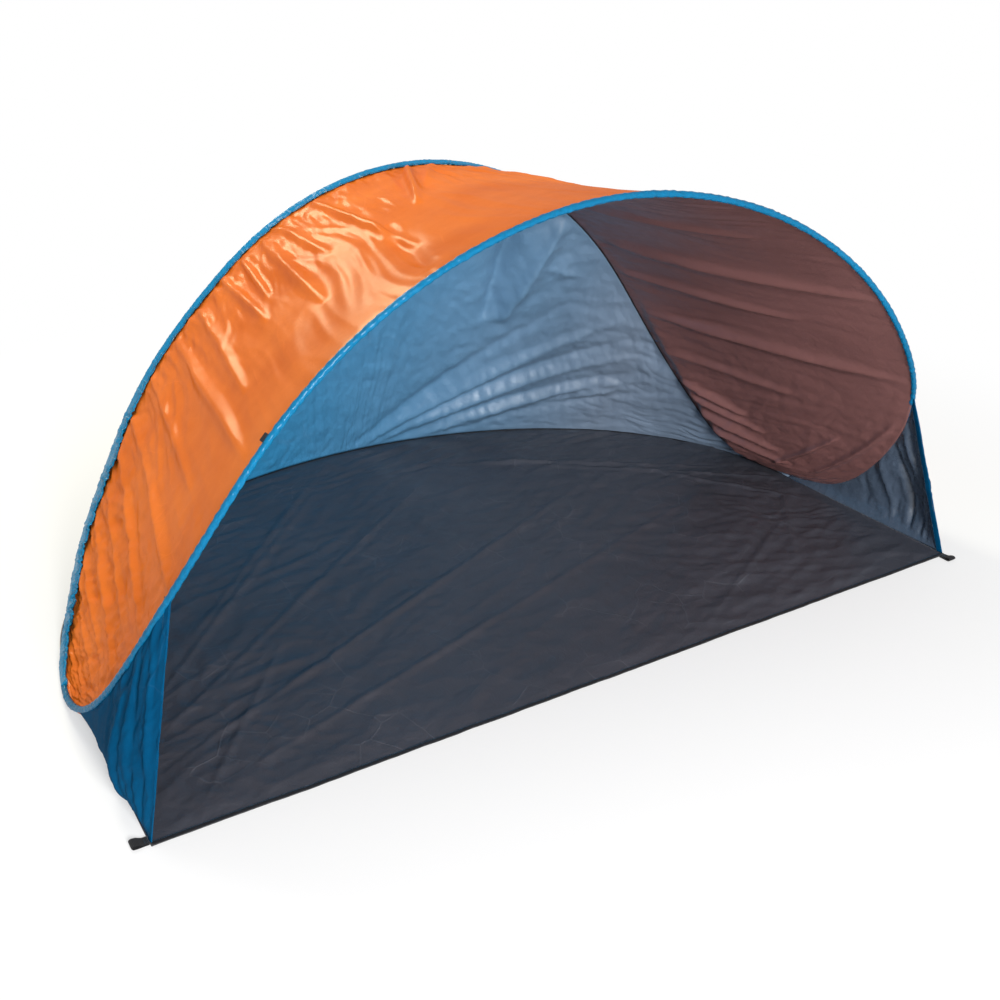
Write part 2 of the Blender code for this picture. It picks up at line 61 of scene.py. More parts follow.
# Sections of the wire and the sleeves. The band widens between two shares of the rear arch
WIRE_RADIUS = 0.0025
PIPING_RADIUS = 0.0074
BAND_RADIUS = 0.0062
BAND_REACH_TOP = 0.014
BAND_REACH_SIDE = 0.048
BAND_WIDENS = (0.42, 0.66)
BAND_THICKNESS = 0.0036
BAND_PUFF = 0.0034
BAND_DROP = 0.0030

# Where the panels and their trims end, as shares of the arches, and how far they overlap
CANOPY_END_SHARE = 0.997
WALL_END_SHARE = 0.999
WING_TOP_SHARE = 0.622
WING_END_SHARE = 0.999
BAND_STITCH_END_SHARE = 0.97
REAR_BINDING_END_SHARE = 0.975
FLOOR_SEAM_END_SHARE = 0.985
TAB_SHARE = -0.446
END_OVERLAP = 0.012

# Sheets. The wall's lines lean towards the middle on their way down, by a power
CLOTH = 0.0008
FLOOR_CLOTH = 0.0010
FLOOR_LIFT = 0.0016
FOOT_HEIGHT = FLOOR_LIFT + 0.001
FLOOR_STRAIGHT_SIDE = 0.640
FLOOR_FREE_HALF = 1.09
WALL_INSET = 0.0030
WALL_LEAN = 1.35
SEAM_DEPTH = 0.0064
CANOPY_SAG = 0.013
LIP_WIDTH = 0.055
LIP_DEPTH = 0.050
WALL_BULGE = 0.012
WING_BULGE = 0.034
WING_LENGTH = 0.66

# Heights of folds and creases
ROOF_PULLS = 0.0085
ROOF_RIPPLES = 0.0032
ROOF_CREASES = 0.0042
ROOF_FINGERS = 0.0095
ROOF_REAR_PUCKERS = 0.0024
ROOF_FRONT_PUCKERS = 0.0012
WALL_PULLS = 0.0060
WALL_RIPPLES = 0.0022
WALL_SEAM_RIPPLES = 0.0048
WALL_CREASES = 0.0020
WALL_TOP_PUCKERS = 0.0016
WALL_FOOT_PUCKERS = 0.0014
WING_PULLS = 0.0070
WING_CREASES = 0.0034
WING_TOP_PUCKERS = 0.0018
WING_FOOT_PUCKERS = 0.0012
FLOOR_RIPPLES = 0.0030
FLOOR_RIGHT_RIPPLES = 0.0026
FLOOR_BACK_RIPPLES = 0.0040
FLOOR_CREASES = 0.0028

# Trims
HEM_WIDTH = 0.020
HEM_LENGTH = 0.46
HEM_THICKNESS = 0.0030
BINDING_WIDTH = 0.013
BINDING_HEIGHT = 0.0030
REAR_BINDING_WIDTH = 0.0045
REAR_BINDING_HEIGHT = 0.0022
SEAM_TAPE_WIDTH = 0.007
SEAM_TAPE_HEIGHT = 0.0014
WEBBING_PLY = 0.0015
TAB_WIDTH = 0.018
TAB_PLY = 0.0012
STITCH_LENGTH = 0.0032
STITCH_PITCH = 0.0046
STITCH_RADIUS = 0.00045

# Values in the materials
THREAD_SCALE = 500.0
CREASE_SCALE = 9.0
COAT_ROUGHNESS = 0.22

# Grids, in steps
ARCH_STEPS = 2000
CANOPY_STEPS = (700, 130)
WALL_STEPS = (480, 120)
WING_STEPS = (90, 80)
FLOOR_STEPS = (340, 240)

CAMERA_PLACE = (-1.456, -2.5835, 1.567)
CAMERA_LOOK = (0.4717, 0.7668, -0.4352)
CAMERA_LENS = 43.2
SENSOR_WIDTH = 36

UP = np.array([0.0, 0.0, 1.0])


def unit(vectors):
    vectors = np.asarray(vectors, float)
    return vectors / np.maximum(np.linalg.norm(vectors, axis=-1, keepdims=True), 1e-12)


def spacing(grid, axis):
    """The distances between neighbours along one axis of a grid or line of places."""
    return np.linalg.norm(np.diff(grid, axis=axis), axis=-1)


def square_to(along, vectors):
    """The part of each vector that is square to its direction along, as a unit vector."""
    return unit(vectors - (vectors * along).sum(-1, keepdims=True) * along)


def travelled(points):
    """How far along a line each of its places is."""
    return np.concatenate([[0], np.cumsum(spacing(points, axis=0))])


def ramp(low, high, value):
    """0 below low, 1 above high, smooth between. low may be the larger."""
    t = np.clip((value - low) / (high - low), 0, 1)
    return t * t * (3 - 2 * t)


# The hoop's line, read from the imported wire


def ring_centres(name):
    """The middles of a packed tube's rings, from its left end to its right end."""
    mesh = frame["nodes"][name].data
    places = np.array([vertex.co for vertex in mesh.vertices], float)
    centres = []
    while len(places):
        same = np.linalg.norm(places - places[0], axis=1) < 3 * WIRE_RADIUS
        centres.append(np.unique(np.round(places[same], 5), axis=0).mean(axis=0))
        places = places[~same]
    centres = np.array(centres)
    here = int(np.argmin(np.abs(centres[:, 1] - FOLD_Y) + (centres[:, 0] > 0)))
    order = [here]
    left = set(range(len(centres))) - {here}
    while left:
        here = min(left, key=lambda i: np.linalg.norm(centres[i] - centres[order[-1]]))
        order.append(here)
        left.remove(here)
    return centres[order]


class Arch:
    """One arch's line, read by its share of length: -1 at the left end, 1 at the right."""

    def __init__(self, name):
        self.points = ring_centres(name)
        run = travelled(self.points)
        self.length = run[-1]
        self.knots = 2 * run / self.length - 1
        self.bends = self.second_derivatives()

    def second_derivatives(self):
        """Of a natural cubic spline through the points."""
        gaps = np.diff(self.knots)
        slopes = np.diff(self.points, axis=0) / gaps[:, None]
        count = len(self.points)
        matrix = np.eye(count)
        right = np.zeros_like(self.points)
        for i in range(1, count - 1):
            matrix[i, i - 1 : i + 2] = gaps[i - 1], 2 * (gaps[i - 1] + gaps[i]), gaps[i]
            right[i] = 6 * (slopes[i] - slopes[i - 1])
        return np.linalg.solve(matrix, right)

    def at(self, share):
        share = np.asarray(share, float)
        i = np.searchsorted(self.knots, share, side="right") - 1
        i = np.clip(i, 0, len(self.knots) - 2)
        gap = (self.knots[i + 1] - self.knots[i])[..., None]
        t = (share - self.knots[i])[..., None] / gap
        straight = (1 - t) * self.points[i] + t * self.points[i + 1]
        bowed = ((1 - t) ** 3 - (1 - t)) * self.bends[i] + (t**3 - t) * self.bends[i + 1]
        return straight + bowed * gap**2 / 6

    def tangent(self, share, step=0.002):
        share = np.asarray(share, float)
        return unit(self.at(np.minimum(share + step, 1)) - self.at(np.maximum(share - step, -1)))


FRONT = Arch("hoop_front")
REAR = Arch("hoop_rear")
ROOF_LENGTH = (FRONT.length + REAR.length) / 4


def cloth_axes(arch, share, lean=0.85):
    """At places on an arch: along the wire, into the canopy and out of the tent."""
    along = arch.tangent(share)
    share = np.asarray(share, float)
    middle = (FRONT.at(share * lean) + REAR.at(share * lean)) / 2
    inward = square_to(along, middle - arch.at(share))
    outward = np.cross(along, inward)
    return along, inward, outward if arch is FRONT else -outward


def rear_seam(share):
    """The seam under the rear sleeve, which joins the roof and the back wall."""
    _, inward, outward = cloth_axes(REAR, share)
    return REAR.at(share) - outward * SEAM_DEPTH + inward * 0.001


# Folds and creases, as heights over a panel


def noise(x, y, seed):
    """Smooth gradient noise, mostly from -1 to 1, with one bump to each unit of x and y."""
    size = 64
    turns = np.random.default_rng(seed).uniform(0, 2 * math.pi, (size, size))
    x, y = np.broadcast_arrays(x, y)
    i, j = np.floor(x).astype(int), np.floor(y).astype(int)
    u, v = x - i, y - j

    def corner(di, dj):
        turn = turns[(i + di) % size, (j + dj) % size]
        return np.cos(turn) * (u - di) + np.sin(turn) * (v - dj)

    s, t = (w**3 * (w * (6 * w - 15) + 10) for w in (u, v))
    near = corner(0, 0) * (1 - s) + corner(1, 0) * s
    far = corner(0, 1) * (1 - s) + corner(1, 1) * s
    return 1.7 * (near * (1 - t) + far * t)


def streaks(x, y, angle, across, along, seed, crisp=0.5):
    """Long crests about this far apart and this long, which run at an angle in degrees."""
    turn = math.radians(angle)
    p = (x * math.cos(turn) + y * math.sin(turn)) / along
    q = (y * math.cos(turn) - x * math.sin(turn)) / across
    q = q + 0.8 * noise(1.3 * p, q / 5, seed + 7)
    soft = noise(p, q, seed)
    hard = 1 - 2.2 * np.abs(noise(1.6 * p, 1.1 * q, seed + 3))
    fine = 1 - 2.2 * np.abs(noise(2.1 * p, 2.1 * q, seed + 5))
    return (1 - crisp) * soft + crisp * (0.80 * hard + 0.20 * fine)


def crumple(x, y, size, seed):
    """Short facets and creases in all directions."""
    wander = 0.6 * noise(x / size / 2, y / size / 2, seed + 1)
    first = np.abs(noise(x / size + wander, y / size, seed))
    second = np.abs(noise(2.3 * x / size, 2.3 * y / size + wander, seed + 2))
    return 1 - 1.6 * first - 0.8 * second


def gathers(s, pitch, seed):
    """Uneven gathers along a seam."""
    return noise(s / pitch, 0.5, seed) + 0.5 * noise(2.7 * s / pitch, 0.5, seed + 1)


def puckers(x, away, pitch, seed, fade, start=0.012):
    """Gathers that die out with the distance away from their seam."""
    return gathers(x, pitch, seed) * np.exp(-away / fade) * ramp(0, start, away)


def fold(x, y, start, end, width, crisp=0.25):
    """One fold, 1 high at its crest, which tapers to both of its ends."""
    run = np.subtract(end, start)
    length = np.linalg.norm(run)
    run = run / length
    along = ((x - start[0]) * run[0] + (y - start[1]) * run[1]) / length
    off = np.abs((y - start[1]) * run[0] - (x - start[0]) * run[1])
    taper = np.sin(math.pi * np.clip(along, 0, 1)) ** 0.6
    off = off / (width * (0.5 + 0.5 * taper))
    return taper * (crisp * np.exp(-1.6 * off) + (1 - crisp) * np.exp(-(off**2)))


def folds(x, y, flat, table):
    """The sum of a table's folds: both ends as shares of the panel, height and width."""
    total = 0 * x
    for u0, v0, u1, v1, height, width in table:
        start, end = flat(np.array(u0), np.array(v0)), flat(np.array(u1), np.array(v1))
        total = total + height * fold(x, y, start, end, width)
    return total


# Meshes


def make_mesh(name, places, faces, paint, paints, uv):
    """A smooth mesh of four-cornered faces, with one pair in uv for each place."""
    places = np.asarray(places, np.float32)
    faces = np.asarray(faces, np.int32)
    mesh = bpy.data.meshes.new(name)
    mesh.vertices.add(len(places))
    mesh.vertices.foreach_set("co", places.ravel())
    mesh.loops.add(faces.size)
    mesh.loops.foreach_set("vertex_index", faces.ravel())
    mesh.polygons.add(len(faces))
    starts = np.arange(0, faces.size, faces.shape[1], dtype=np.int32)
    mesh.polygons.foreach_set("loop_start", starts)
    layer = mesh.uv_layers.new(name="cloth")
    layer.data.foreach_set("uv", np.asarray(uv, np.float32)[faces.ravel()].ravel())
    for material in paints:
        mesh.materials.append(material)
    if paint is not None:
        mesh.polygons.foreach_set("material_index", np.asarray(paint, np.int32))
    mesh.update(calc_edges=True)
    mesh.shade_smooth()
    item = bpy.data.objects.new(name, mesh)
    bpy.context.scene.collection.objects.link(item)
    return item


def grid_faces(rows, columns, closed=False):
    last = columns if closed else columns - 1
    i, j = np.meshgrid(np.arange(rows - 1), np.arange(last), indexing="ij")
    k = (j + 1) % columns
    near, far = i * columns, (i + 1) * columns
    return np.stack([near + j, near + k, far + k, far + j], axis=-1).reshape(-1, 4)


def normals(grid):
    return unit(np.cross(np.gradient(grid, axis=1), np.gradient(grid, axis=0)))


def sheet(name, grid, out, thickness, outer, inner, uv):
    """A thin closed sheet round a grid of places, with its outer side the way that out points."""
    rows, columns, _ = grid.shape
    top = (grid + out * thickness / 2).reshape(-1, 3)
    under = (grid - out * thickness / 2).reshape(-1, 3)
    count = rows * columns
    faces = grid_faces(rows, columns)
    index = np.arange(count).reshape(rows, columns)
    rim = np.concatenate([index[0], index[1:, -1], index[-1, -2::-1], index[-2:0:-1, 0]])
    after = np.roll(rim, -1)
    edge = np.stack([after, rim, count + rim, count + after], axis=-1)
    # Both sides are cut along the same diagonals, so that they can't cross
    every = np.concatenate([faces, count + faces[:, [0, 3, 2, 1]], edge])
    paint = np.concatenate([np.zeros(len(faces)), np.ones(len(faces)), np.zeros(len(edge))])
    uv = np.concatenate([uv.reshape(-1, 2)] * 2)
    return make_mesh(name, np.concatenate([top, under]), every, paint, (outer, inner), uv)


def cloth_uv(grid):
    """Metres along the weave, from the middle of the grid."""
    across = spacing(grid, axis=1).mean(axis=0)
    down = spacing(grid, axis=0).mean(axis=1)
    u = np.concatenate([[0], np.cumsum(across)])
    v = np.concatenate([[0], np.cumsum(down)])
    return np.stack(np.meshgrid(u - u[-1] / 2, v), axis=-1)


def tube(name, rings, paint, closed=False):
    """A tube through rings of places, capped at its ends unless it is closed on itself."""
    count, sides, _ = rings.shape
    faces = grid_faces(count, sides, closed=True)
    j = np.arange(sides)
    if closed:
        last = (count - 1) * sides
        k = (j + 1) % sides
        faces = np.concatenate([faces, np.stack([last + j, last + k, k, j], axis=-1)])
    else:
        j = np.arange(sides // 2 - 1)
        cap = np.stack([j, j + 1, sides - 2 - j, sides - 1 - j], axis=-1)
        faces = np.concatenate([faces, cap[:, ::-1], cap + (count - 1) * sides])
    around, along = rings[0, 1] - rings[0, 0], rings[1, 0] - rings[0, 0]
    if np.dot(np.cross(around, along), rings[0, 0] - rings[0].mean(axis=0)) < 0:
        faces = faces[:, ::-1]
    length = travelled(rings.mean(axis=1))
    girth = np.linalg.norm(rings[0] - np.roll(rings[0], 1, axis=0), axis=1).sum()
    around = np.linspace(0, girth, sides)
    uv = np.stack(np.meshgrid(length, around, indexing="ij"), axis=-1).reshape(-1, 2)
    return make_mesh(name, rings.reshape(-1, 3), faces, None, (paint,), uv)


def oblong_rings(centres, wide, high, width, height, sides=16):
    """Rings of a flat section with round edges, as wide and as high as told."""
    angles = np.linspace(0, 2 * math.pi, sides, endpoint=False)
    across = np.sign(np.cos(angles)) * np.abs(np.cos(angles)) ** 0.45
    sizes = (width, height)
    width, height = (np.broadcast_to(size, len(centres))[:, None, None] for size in sizes)
    return (
        centres[:, None]
        + wide[:, None] * across[None, :, None] * width / 2
        + high[:, None] * np.sin(angles)[None, :, None] * height / 2
    )


def stitch_row(name, line, normal, body=None):
    """Short stitches along a line of places, lying on the cloth."""
    length = travelled(line)
    middle = np.arange(STITCH_PITCH, length[-1] - STITCH_PITCH, STITCH_PITCH)

    def read(values, where):
        return np.stack([np.interp(where, length, values[:, i]) for i in range(3)], axis=-1)

    half = STITCH_LENGTH / 2
    along = unit(read(line, middle + half) - read(line, middle - half))
    up = square_to(along, read(normal, middle))
    side = np.cross(up, along)
    centre = read(line, middle)
    rings = []
    for reach, size in ((-1, 0.45), (-0.7, 1), (0.7, 1), (1, 0.45)):
        for a, b in ((1, 0), (0, 1), (-1, 0), (0, -1)):
            offset = (side * a + up * b) * size + up * (size - 0.45)
            rings.append(centre + along * reach * half + offset * STITCH_RADIUS)
    places = np.stack(rings, axis=1).reshape(-1, 3)
    single = np.concatenate([grid_faces(4, 4, closed=True), [[3, 2, 1, 0], [12, 13, 14, 15]]])
    faces = (single[None] + 16 * np.arange(len(middle))[:, None, None]).reshape(-1, 4)
    item = make_mesh(name, places, faces, None, (THREAD,), places[:, :2])
    if body:
        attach(item, body)
    else:
        bend(item)


# Materials


def fill(tree, item, *by_place, **by_name):
    """Sets a node's options and inputs. A value that is another node's output is linked."""
    inputs = dict(enumerate(by_place))
    for key, value in by_name.items():
        if hasattr(item, key):
            setattr(item, key, value)
        else:
            inputs[key.replace("_", " ")] = value
    for key, value in inputs.items():
        if isinstance(value, bpy.types.NodeSocket):
            tree.links.new(value, item.inputs[key])
        else:
            item.inputs[key].default_value = value


def node(tree, kind, *by_place, gives=0, **by_name):
    """Adds a node and returns one of its outputs, by default its first."""
    item = tree.nodes.new("ShaderNode" + kind)
    fill(tree, item, *by_place, **by_name)
    return item.outputs[gives]


def new_material(name, roughness, **settings):
    """A material with its node tree and shader, and the places on a piece."""
    material = bpy.data.materials.new(name)
    material.use_nodes = True
    tree = material.node_tree
    shader = tree.nodes["Principled BSDF"]
    fill(tree, shader, Roughness=roughness, **settings)
    return material, tree, shader, node(tree, "TexCoord", gives="Object")


def painted_sheen_to_the_right(tree, place, dye, left):
    """Painted sheen: the colour turns from the blue given for the left to the silvery grey dye
    towards the right; the grey partly stands for the coating's colour and partly paints its sheen.
    """
    x = node(tree, "SeparateXYZ", Vector=place, gives="X")
    share = node(tree, "MapRange", Value=x, From_Min=-0.40, From_Max=0.80)
    return node(tree, "MixRGB", Fac=share, Color1=(*left, 1), Color2=dye)


def crease_lines(tree, place):
    """Thin broken lines where the cloth was once folded small: 1 on a line, 0 beside it."""
    wander = node(tree, "TexNoise", Vector=place, Scale=3.0, Detail=3.0, gives="Color")
    moved = node(tree, "VectorMath", wander, (0.05, 0.05, 0.05), place, operation="MULTIPLY_ADD")
    cells = node(tree, "TexVoronoi", Vector=moved, Scale=CREASE_SCALE, feature="DISTANCE_TO_EDGE")
    line = node(tree, "MapRange", Value=cells, From_Max=0.022, To_Min=1.0, To_Max=0.0)
    patches = node(tree, "TexNoise", Vector=place, Scale=4.5, Detail=2.0)
    kept = node(tree, "MapRange", Value=patches, From_Min=0.47, From_Max=0.62)
    return node(tree, "Math", line, kept, operation="MULTIPLY")


def cloth_material(
    name, colour, roughness, crinkle, shade=0.10, fade=None, left=None, shine=0.5, coat=0.1,
    grain=24.0, crease_line_strength=0.2,
):
    """Coated woven cloth: threads, small crinkles, and slow changes of colour and gloss."""
    coating = dict(Specular_IOR_Level=shine, Coat_Weight=coat, Coat_Roughness=COAT_ROUGHNESS)
    material, tree, shader, place = new_material(name, roughness, **coating)
    patches = node(tree, "TexNoise", Vector=place, Scale=2.4, Detail=5.0, Roughness=0.6)
    slow = node(tree, "MapRange", Value=patches, From_Min=0.32, From_Max=0.68)
    dark = [c * (1 - shade) for c in colour]
    pale = fade or [c * (1 + shade) for c in colour]
    dye = node(tree, "MixRGB", Fac=slow, Color1=(*dark, 1), Color2=(*pale, 1))
    # Where a blue for the left is given, painted sheen: the colour turns silvery grey towards the
    # right.
    if left:
        dye = painted_sheen_to_the_right(tree, place, dye, left)
    lines = crease_lines(tree, place)
    # The crease lines are drawn lighter than the cloth, and raised by a bump below.
    faint = node(tree, "Math", lines, crease_line_strength, operation="MULTIPLY")
    crease_line_colour = [min(1, 1.5 * c + 0.03) for c in colour]
    dye = node(tree, "MixRGB", Fac=faint, Color1=dye, Color2=(*crease_line_colour, 1))
    weave = node(tree, "TexCoord", gives="UV")
    thread = dict(Vector=weave, Scale=THREAD_SCALE, gives="Fac")
    threads = [node(tree, "TexWave", bands_direction=way, **thread) for way in ("X", "Y")]
    crossed = node(tree, "Math", *threads, operation="MULTIPLY")
    grooves = node(tree, "MapRange", Value=crossed, To_Min=0.93, To_Max=1.05)
    dye = node(tree, "VectorMath", dye, Scale=grooves, operation="SCALE")
    rub = node(tree, "TexNoise", Vector=place, Scale=19.0, Detail=4.0, Roughness=0.6)
    reach = dict(From_Min=0.3, From_Max=0.7, To_Min=roughness - 0.06, To_Max=roughness + 0.06)
    gloss = node(tree, "MapRange", Value=rub, **reach)
    rough = dict(Scale=grain, Detail=6.0, Roughness=0.62, Distortion=0.8)
    creased = node(tree, "TexNoise", Vector=place, **rough)
    small = node(tree, "Bump", Height=creased, Strength=crinkle, Distance=0.006)
    ridge = node(tree, "Bump", Height=lines, Normal=small, Strength=crease_line_strength, Distance=0.0015)
    woven = node(tree, "Bump", Height=crossed, Normal=ridge, Strength=0.15, Distance=0.0003)
    fill(tree, shader, Base_Color=dye, Roughness=gloss, Normal=woven)
    return material


def webbing_material():
    """Black webbing with ribs across it."""
    finish = dict(Sheen_Weight=0.05, Specular_IOR_Level=0.1)
    material, tree, shader, _ = new_material("black_webbing_weave", 0.72, **finish)
    weave = node(tree, "TexCoord", gives="UV")
    wave = dict(Scale=110.0, Distortion=0.4, bands_direction="X")
    ribs = node(tree, "TexWave", Vector=weave, gives="Fac", **wave)
    dark, pale = (0.006, 0.006, 0.007, 1), (0.030, 0.030, 0.033, 1)
    tone = node(tree, "MixRGB", Fac=ribs, Color1=dark, Color2=pale)
    raised = node(tree, "Bump", Height=ribs, Strength=0.6, Distance=0.0005)
    fill(tree, shader, Base_Color=tone, Normal=raised)
    return material


def thread_material():
    """Twisted sewing thread."""
    material, tree, shader, place = new_material("dark_thread", 0.55)
    wave = dict(Scale=900.0, bands_direction="DIAGONAL")
    twist = node(tree, "TexWave", Vector=place, gives="Fac", **wave)
    dark, pale = (0.004, 0.030, 0.065, 1), (0.012, 0.070, 0.130, 1)
    fill(tree, shader, Base_Color=node(tree, "MixRGB", Fac=twist, Color1=dark, Color2=pale))
    return material


def metal_material(name, colour, roughness):
    """Drawn steel, with fine scratches."""
    material, tree, shader, place = new_material(name, roughness, Metallic=1.0)
    scratches = node(tree, "TexNoise", Vector=place, Scale=420.0, Detail=2.0)
    dark = [0.8 * c for c in colour]
    tone = node(tree, "MixRGB", Fac=scratches, Color1=(*dark, 1), Color2=(*colour, 1))
    reach = dict(To_Min=roughness - 0.08, To_Max=roughness + 0.10)
    fill(tree, shader, Base_Color=tone, Roughness=node(tree, "MapRange", Value=scratches, **reach))
    return material


ORANGE = cloth_material(
    "orange_outside", (0.74, 0.145, 0.010), roughness=0.34, crinkle=0.35,
    fade=(0.86, 0.212, 0.030), shine=0.0, coat=0.15,
)
MAROON = cloth_material(
    "orange_coated_inside", (0.186, 0.083, 0.077), roughness=0.34, crinkle=0.30, coat=0.25,
    crease_line_strength=0.04,
)
BLUE = cloth_material(
    "blue_outside", (0.001, 0.056, 0.138), roughness=0.42, crinkle=0.35,
    fade=(0.002, 0.078, 0.182), shine=0.0, coat=0.05,
)
# The wall's coated inside: silvery grey that turns blue towards the left; the grey towards the right
# is partly painted sheen.
SILVER = cloth_material(
    "blue_coated_inside", (0.165, 0.220, 0.300), roughness=0.37, crinkle=0.40, shade=0.16,
    left=(0.026, 0.270, 0.535), crease_line_strength=0.1,
)
# Painted shade: the wings' coated inside is the wall's cloth, given a darker copy of its colour
# because the wings stand in shade.
SHADED_SILVER_PAINTED = cloth_material(
    "wing_coated_inside_painted_shade", (0.060, 0.084, 0.122), roughness=0.28, crinkle=0.40, shade=0.16,
    shine=0.6,
)
SLEEVE = cloth_material(
    "blue_sleeve_cloth", (0.002, 0.130, 0.270), roughness=0.34, crinkle=0.95, shine=0.02,
    coat=0.25, grain=70.0,
)
# Painted light: the rear band is the piping's blue cloth, given a lighter blue that paints the light
# falling on it.
BAND_SLEEVE_PAINTED_LIGHT = cloth_material(
    "blue_sleeve_cloth_painted_light", (0.003, 0.205, 0.410), roughness=0.30, crinkle=0.95, shine=0.04,
    coat=0.35, grain=60.0,
)
CHARCOAL = cloth_material(
    "charcoal_groundsheet", (0.050, 0.053, 0.067), roughness=0.42, crinkle=0.40, crease_line_strength=0.45
)
BINDING = cloth_material("black_binding", (0.010, 0.010, 0.012), roughness=0.55, crinkle=0.2)
WEBBING = webbing_material()
THREAD = thread_material()
STEEL = metal_material("spring_steel_wire", (0.45, 0.46, 0.48), 0.35)
CRIMPED = metal_material("crimped_steel_tube", (0.55, 0.56, 0.58), 0.30)


# Placing pieces: bend only bakes a piece's transform into its mesh, and grid_shares lays out shares


def bend(item):
    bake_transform(item)


def grid_shares(low, high, steps):
    columns, rows = steps
    return np.meshgrid(np.linspace(low, high, columns + 1), np.linspace(0, 1, rows + 1))


# The hoop and its sleeves


def build_wire():
    share = np.linspace(-1, 1, ARCH_STEPS // 2)
    centres = np.concatenate([FRONT.at(share), REAR.at(share)[::-1]])
    along = unit(np.roll(centres, -1, axis=0) - np.roll(centres, 1, axis=0))
    side = unit(np.cross(along, [0.0, 0.35, 1.0]))
    rings = oblong_rings(centres, side, np.cross(side, along), 2 * WIRE_RADIUS, 2 * WIRE_RADIUS, 8)
    wire = tube("hoop_wire", rings, STEEL, closed=True)
    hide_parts("hoop_front", "hoop_rear")
    bend(wire)
    ferrule = frame["nodes"]["hoop_ferrule"].data
    ferrule.materials.clear()
    ferrule.materials.append(CRIMPED)


def build_piping():
    """The front sleeve: cloth rolled tight round the wire, with slanting wrinkles."""
    share = np.linspace(-1, 1, ARCH_STEPS)
    _, inward, outward = cloth_axes(FRONT, share)
    angles = np.linspace(0, 2 * math.pi, 18, endpoint=False)[None]
    s = (share * FRONT.length / 2)[:, None]
    turn = np.sin(angles - 0.3 + 260 * s + 3 * noise(14 * s, np.sin(angles) + 3, 5))
    grain = noise(70 * s, 3 * np.sin(angles) + 9, 11) + noise(150 * s, 3 * np.cos(angles) + 9, 12)
    reach = PIPING_RADIUS * (0.94 + 0.06 * turn + 0.06 * grain + 0.06 * gathers(s, 0.05, 14))
    rings = (
        FRONT.at(share)[:, None]
        + (reach * np.cos(angles))[..., None] * inward[:, None]
        + (reach * np.sin(angles))[..., None] * outward[:, None]
    )
    piping = tube("front_sleeve_piping", rings, SLEEVE)
    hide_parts("sleeve_front")
    bend(piping)


def build_band():
    """The rear sleeve: a gathered band folded round the wire and sewn down on the roof."""
    share = np.linspace(-1, 1, ARCH_STEPS)
    centres = REAR.at(share)
    _, inward, outward = cloth_axes(REAR, share)
    s = share * REAR.length / 2
    ease = ramp(1.0, 0.90, np.abs(share))
    wider = ramp(*BAND_WIDENS, np.abs(share))
    reach = BAND_REACH_TOP + (BAND_REACH_SIDE - BAND_REACH_TOP) * wider
    scallops = 0.16 * gathers(s, pitch=0.024, seed=21) * (0.5 + wider)
    scallops = scallops + 0.18 * gathers(s, pitch=0.07, seed=23) * wider
    reach = reach * (0.3 + 0.7 * ease) * (1 + scallops)
    angles = np.linspace(0, 2 * math.pi, 32, endpoint=False)
    across = np.cos(angles)[None]
    flat = ramp(-0.2, 0.9, across)
    puff = BAND_PUFF * wider[:, None]
    thick = BAND_RADIUS * (1 - flat) + (BAND_THICKNESS / 2 + puff) * flat
    x = np.where(across > 0, across * reach[:, None], across * BAND_RADIUS)
    pleats = gathers(s[:, None] + 0.1 * x, 0.016, 31) + noise(s[:, None] / 0.03, x / 0.02, 33)
    pleats = pleats + noise(s[:, None] / 0.007, x / 0.009, 35)
    pleats = np.maximum(pleats, -0.4)
    y = np.sin(angles)[None] * thick - (BAND_DROP - puff) * flat
    y = y + (0.0016 + 0.0018 * wider[:, None]) * pleats * (0.4 + 0.6 * flat) * ease[:, None]
    rings = centres[:, None] + x[..., None] * inward[:, None] + y[..., None] * outward[:, None]
    band = tube("rear_sleeve_band", rings, BAND_SLEEVE_PAINTED_LIGHT)
    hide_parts("sleeve_rear")
    bend(band)
    kept = np.abs(share) < BAND_STITCH_END_SHARE
    edge = rings[kept, 3] + outward[kept] * 0.0004
    stitch_row("rear_sleeve_stitches", edge, outward[kept])


# The roof. Its own folds, as shares: from u, v to u, v; then height and width in metres

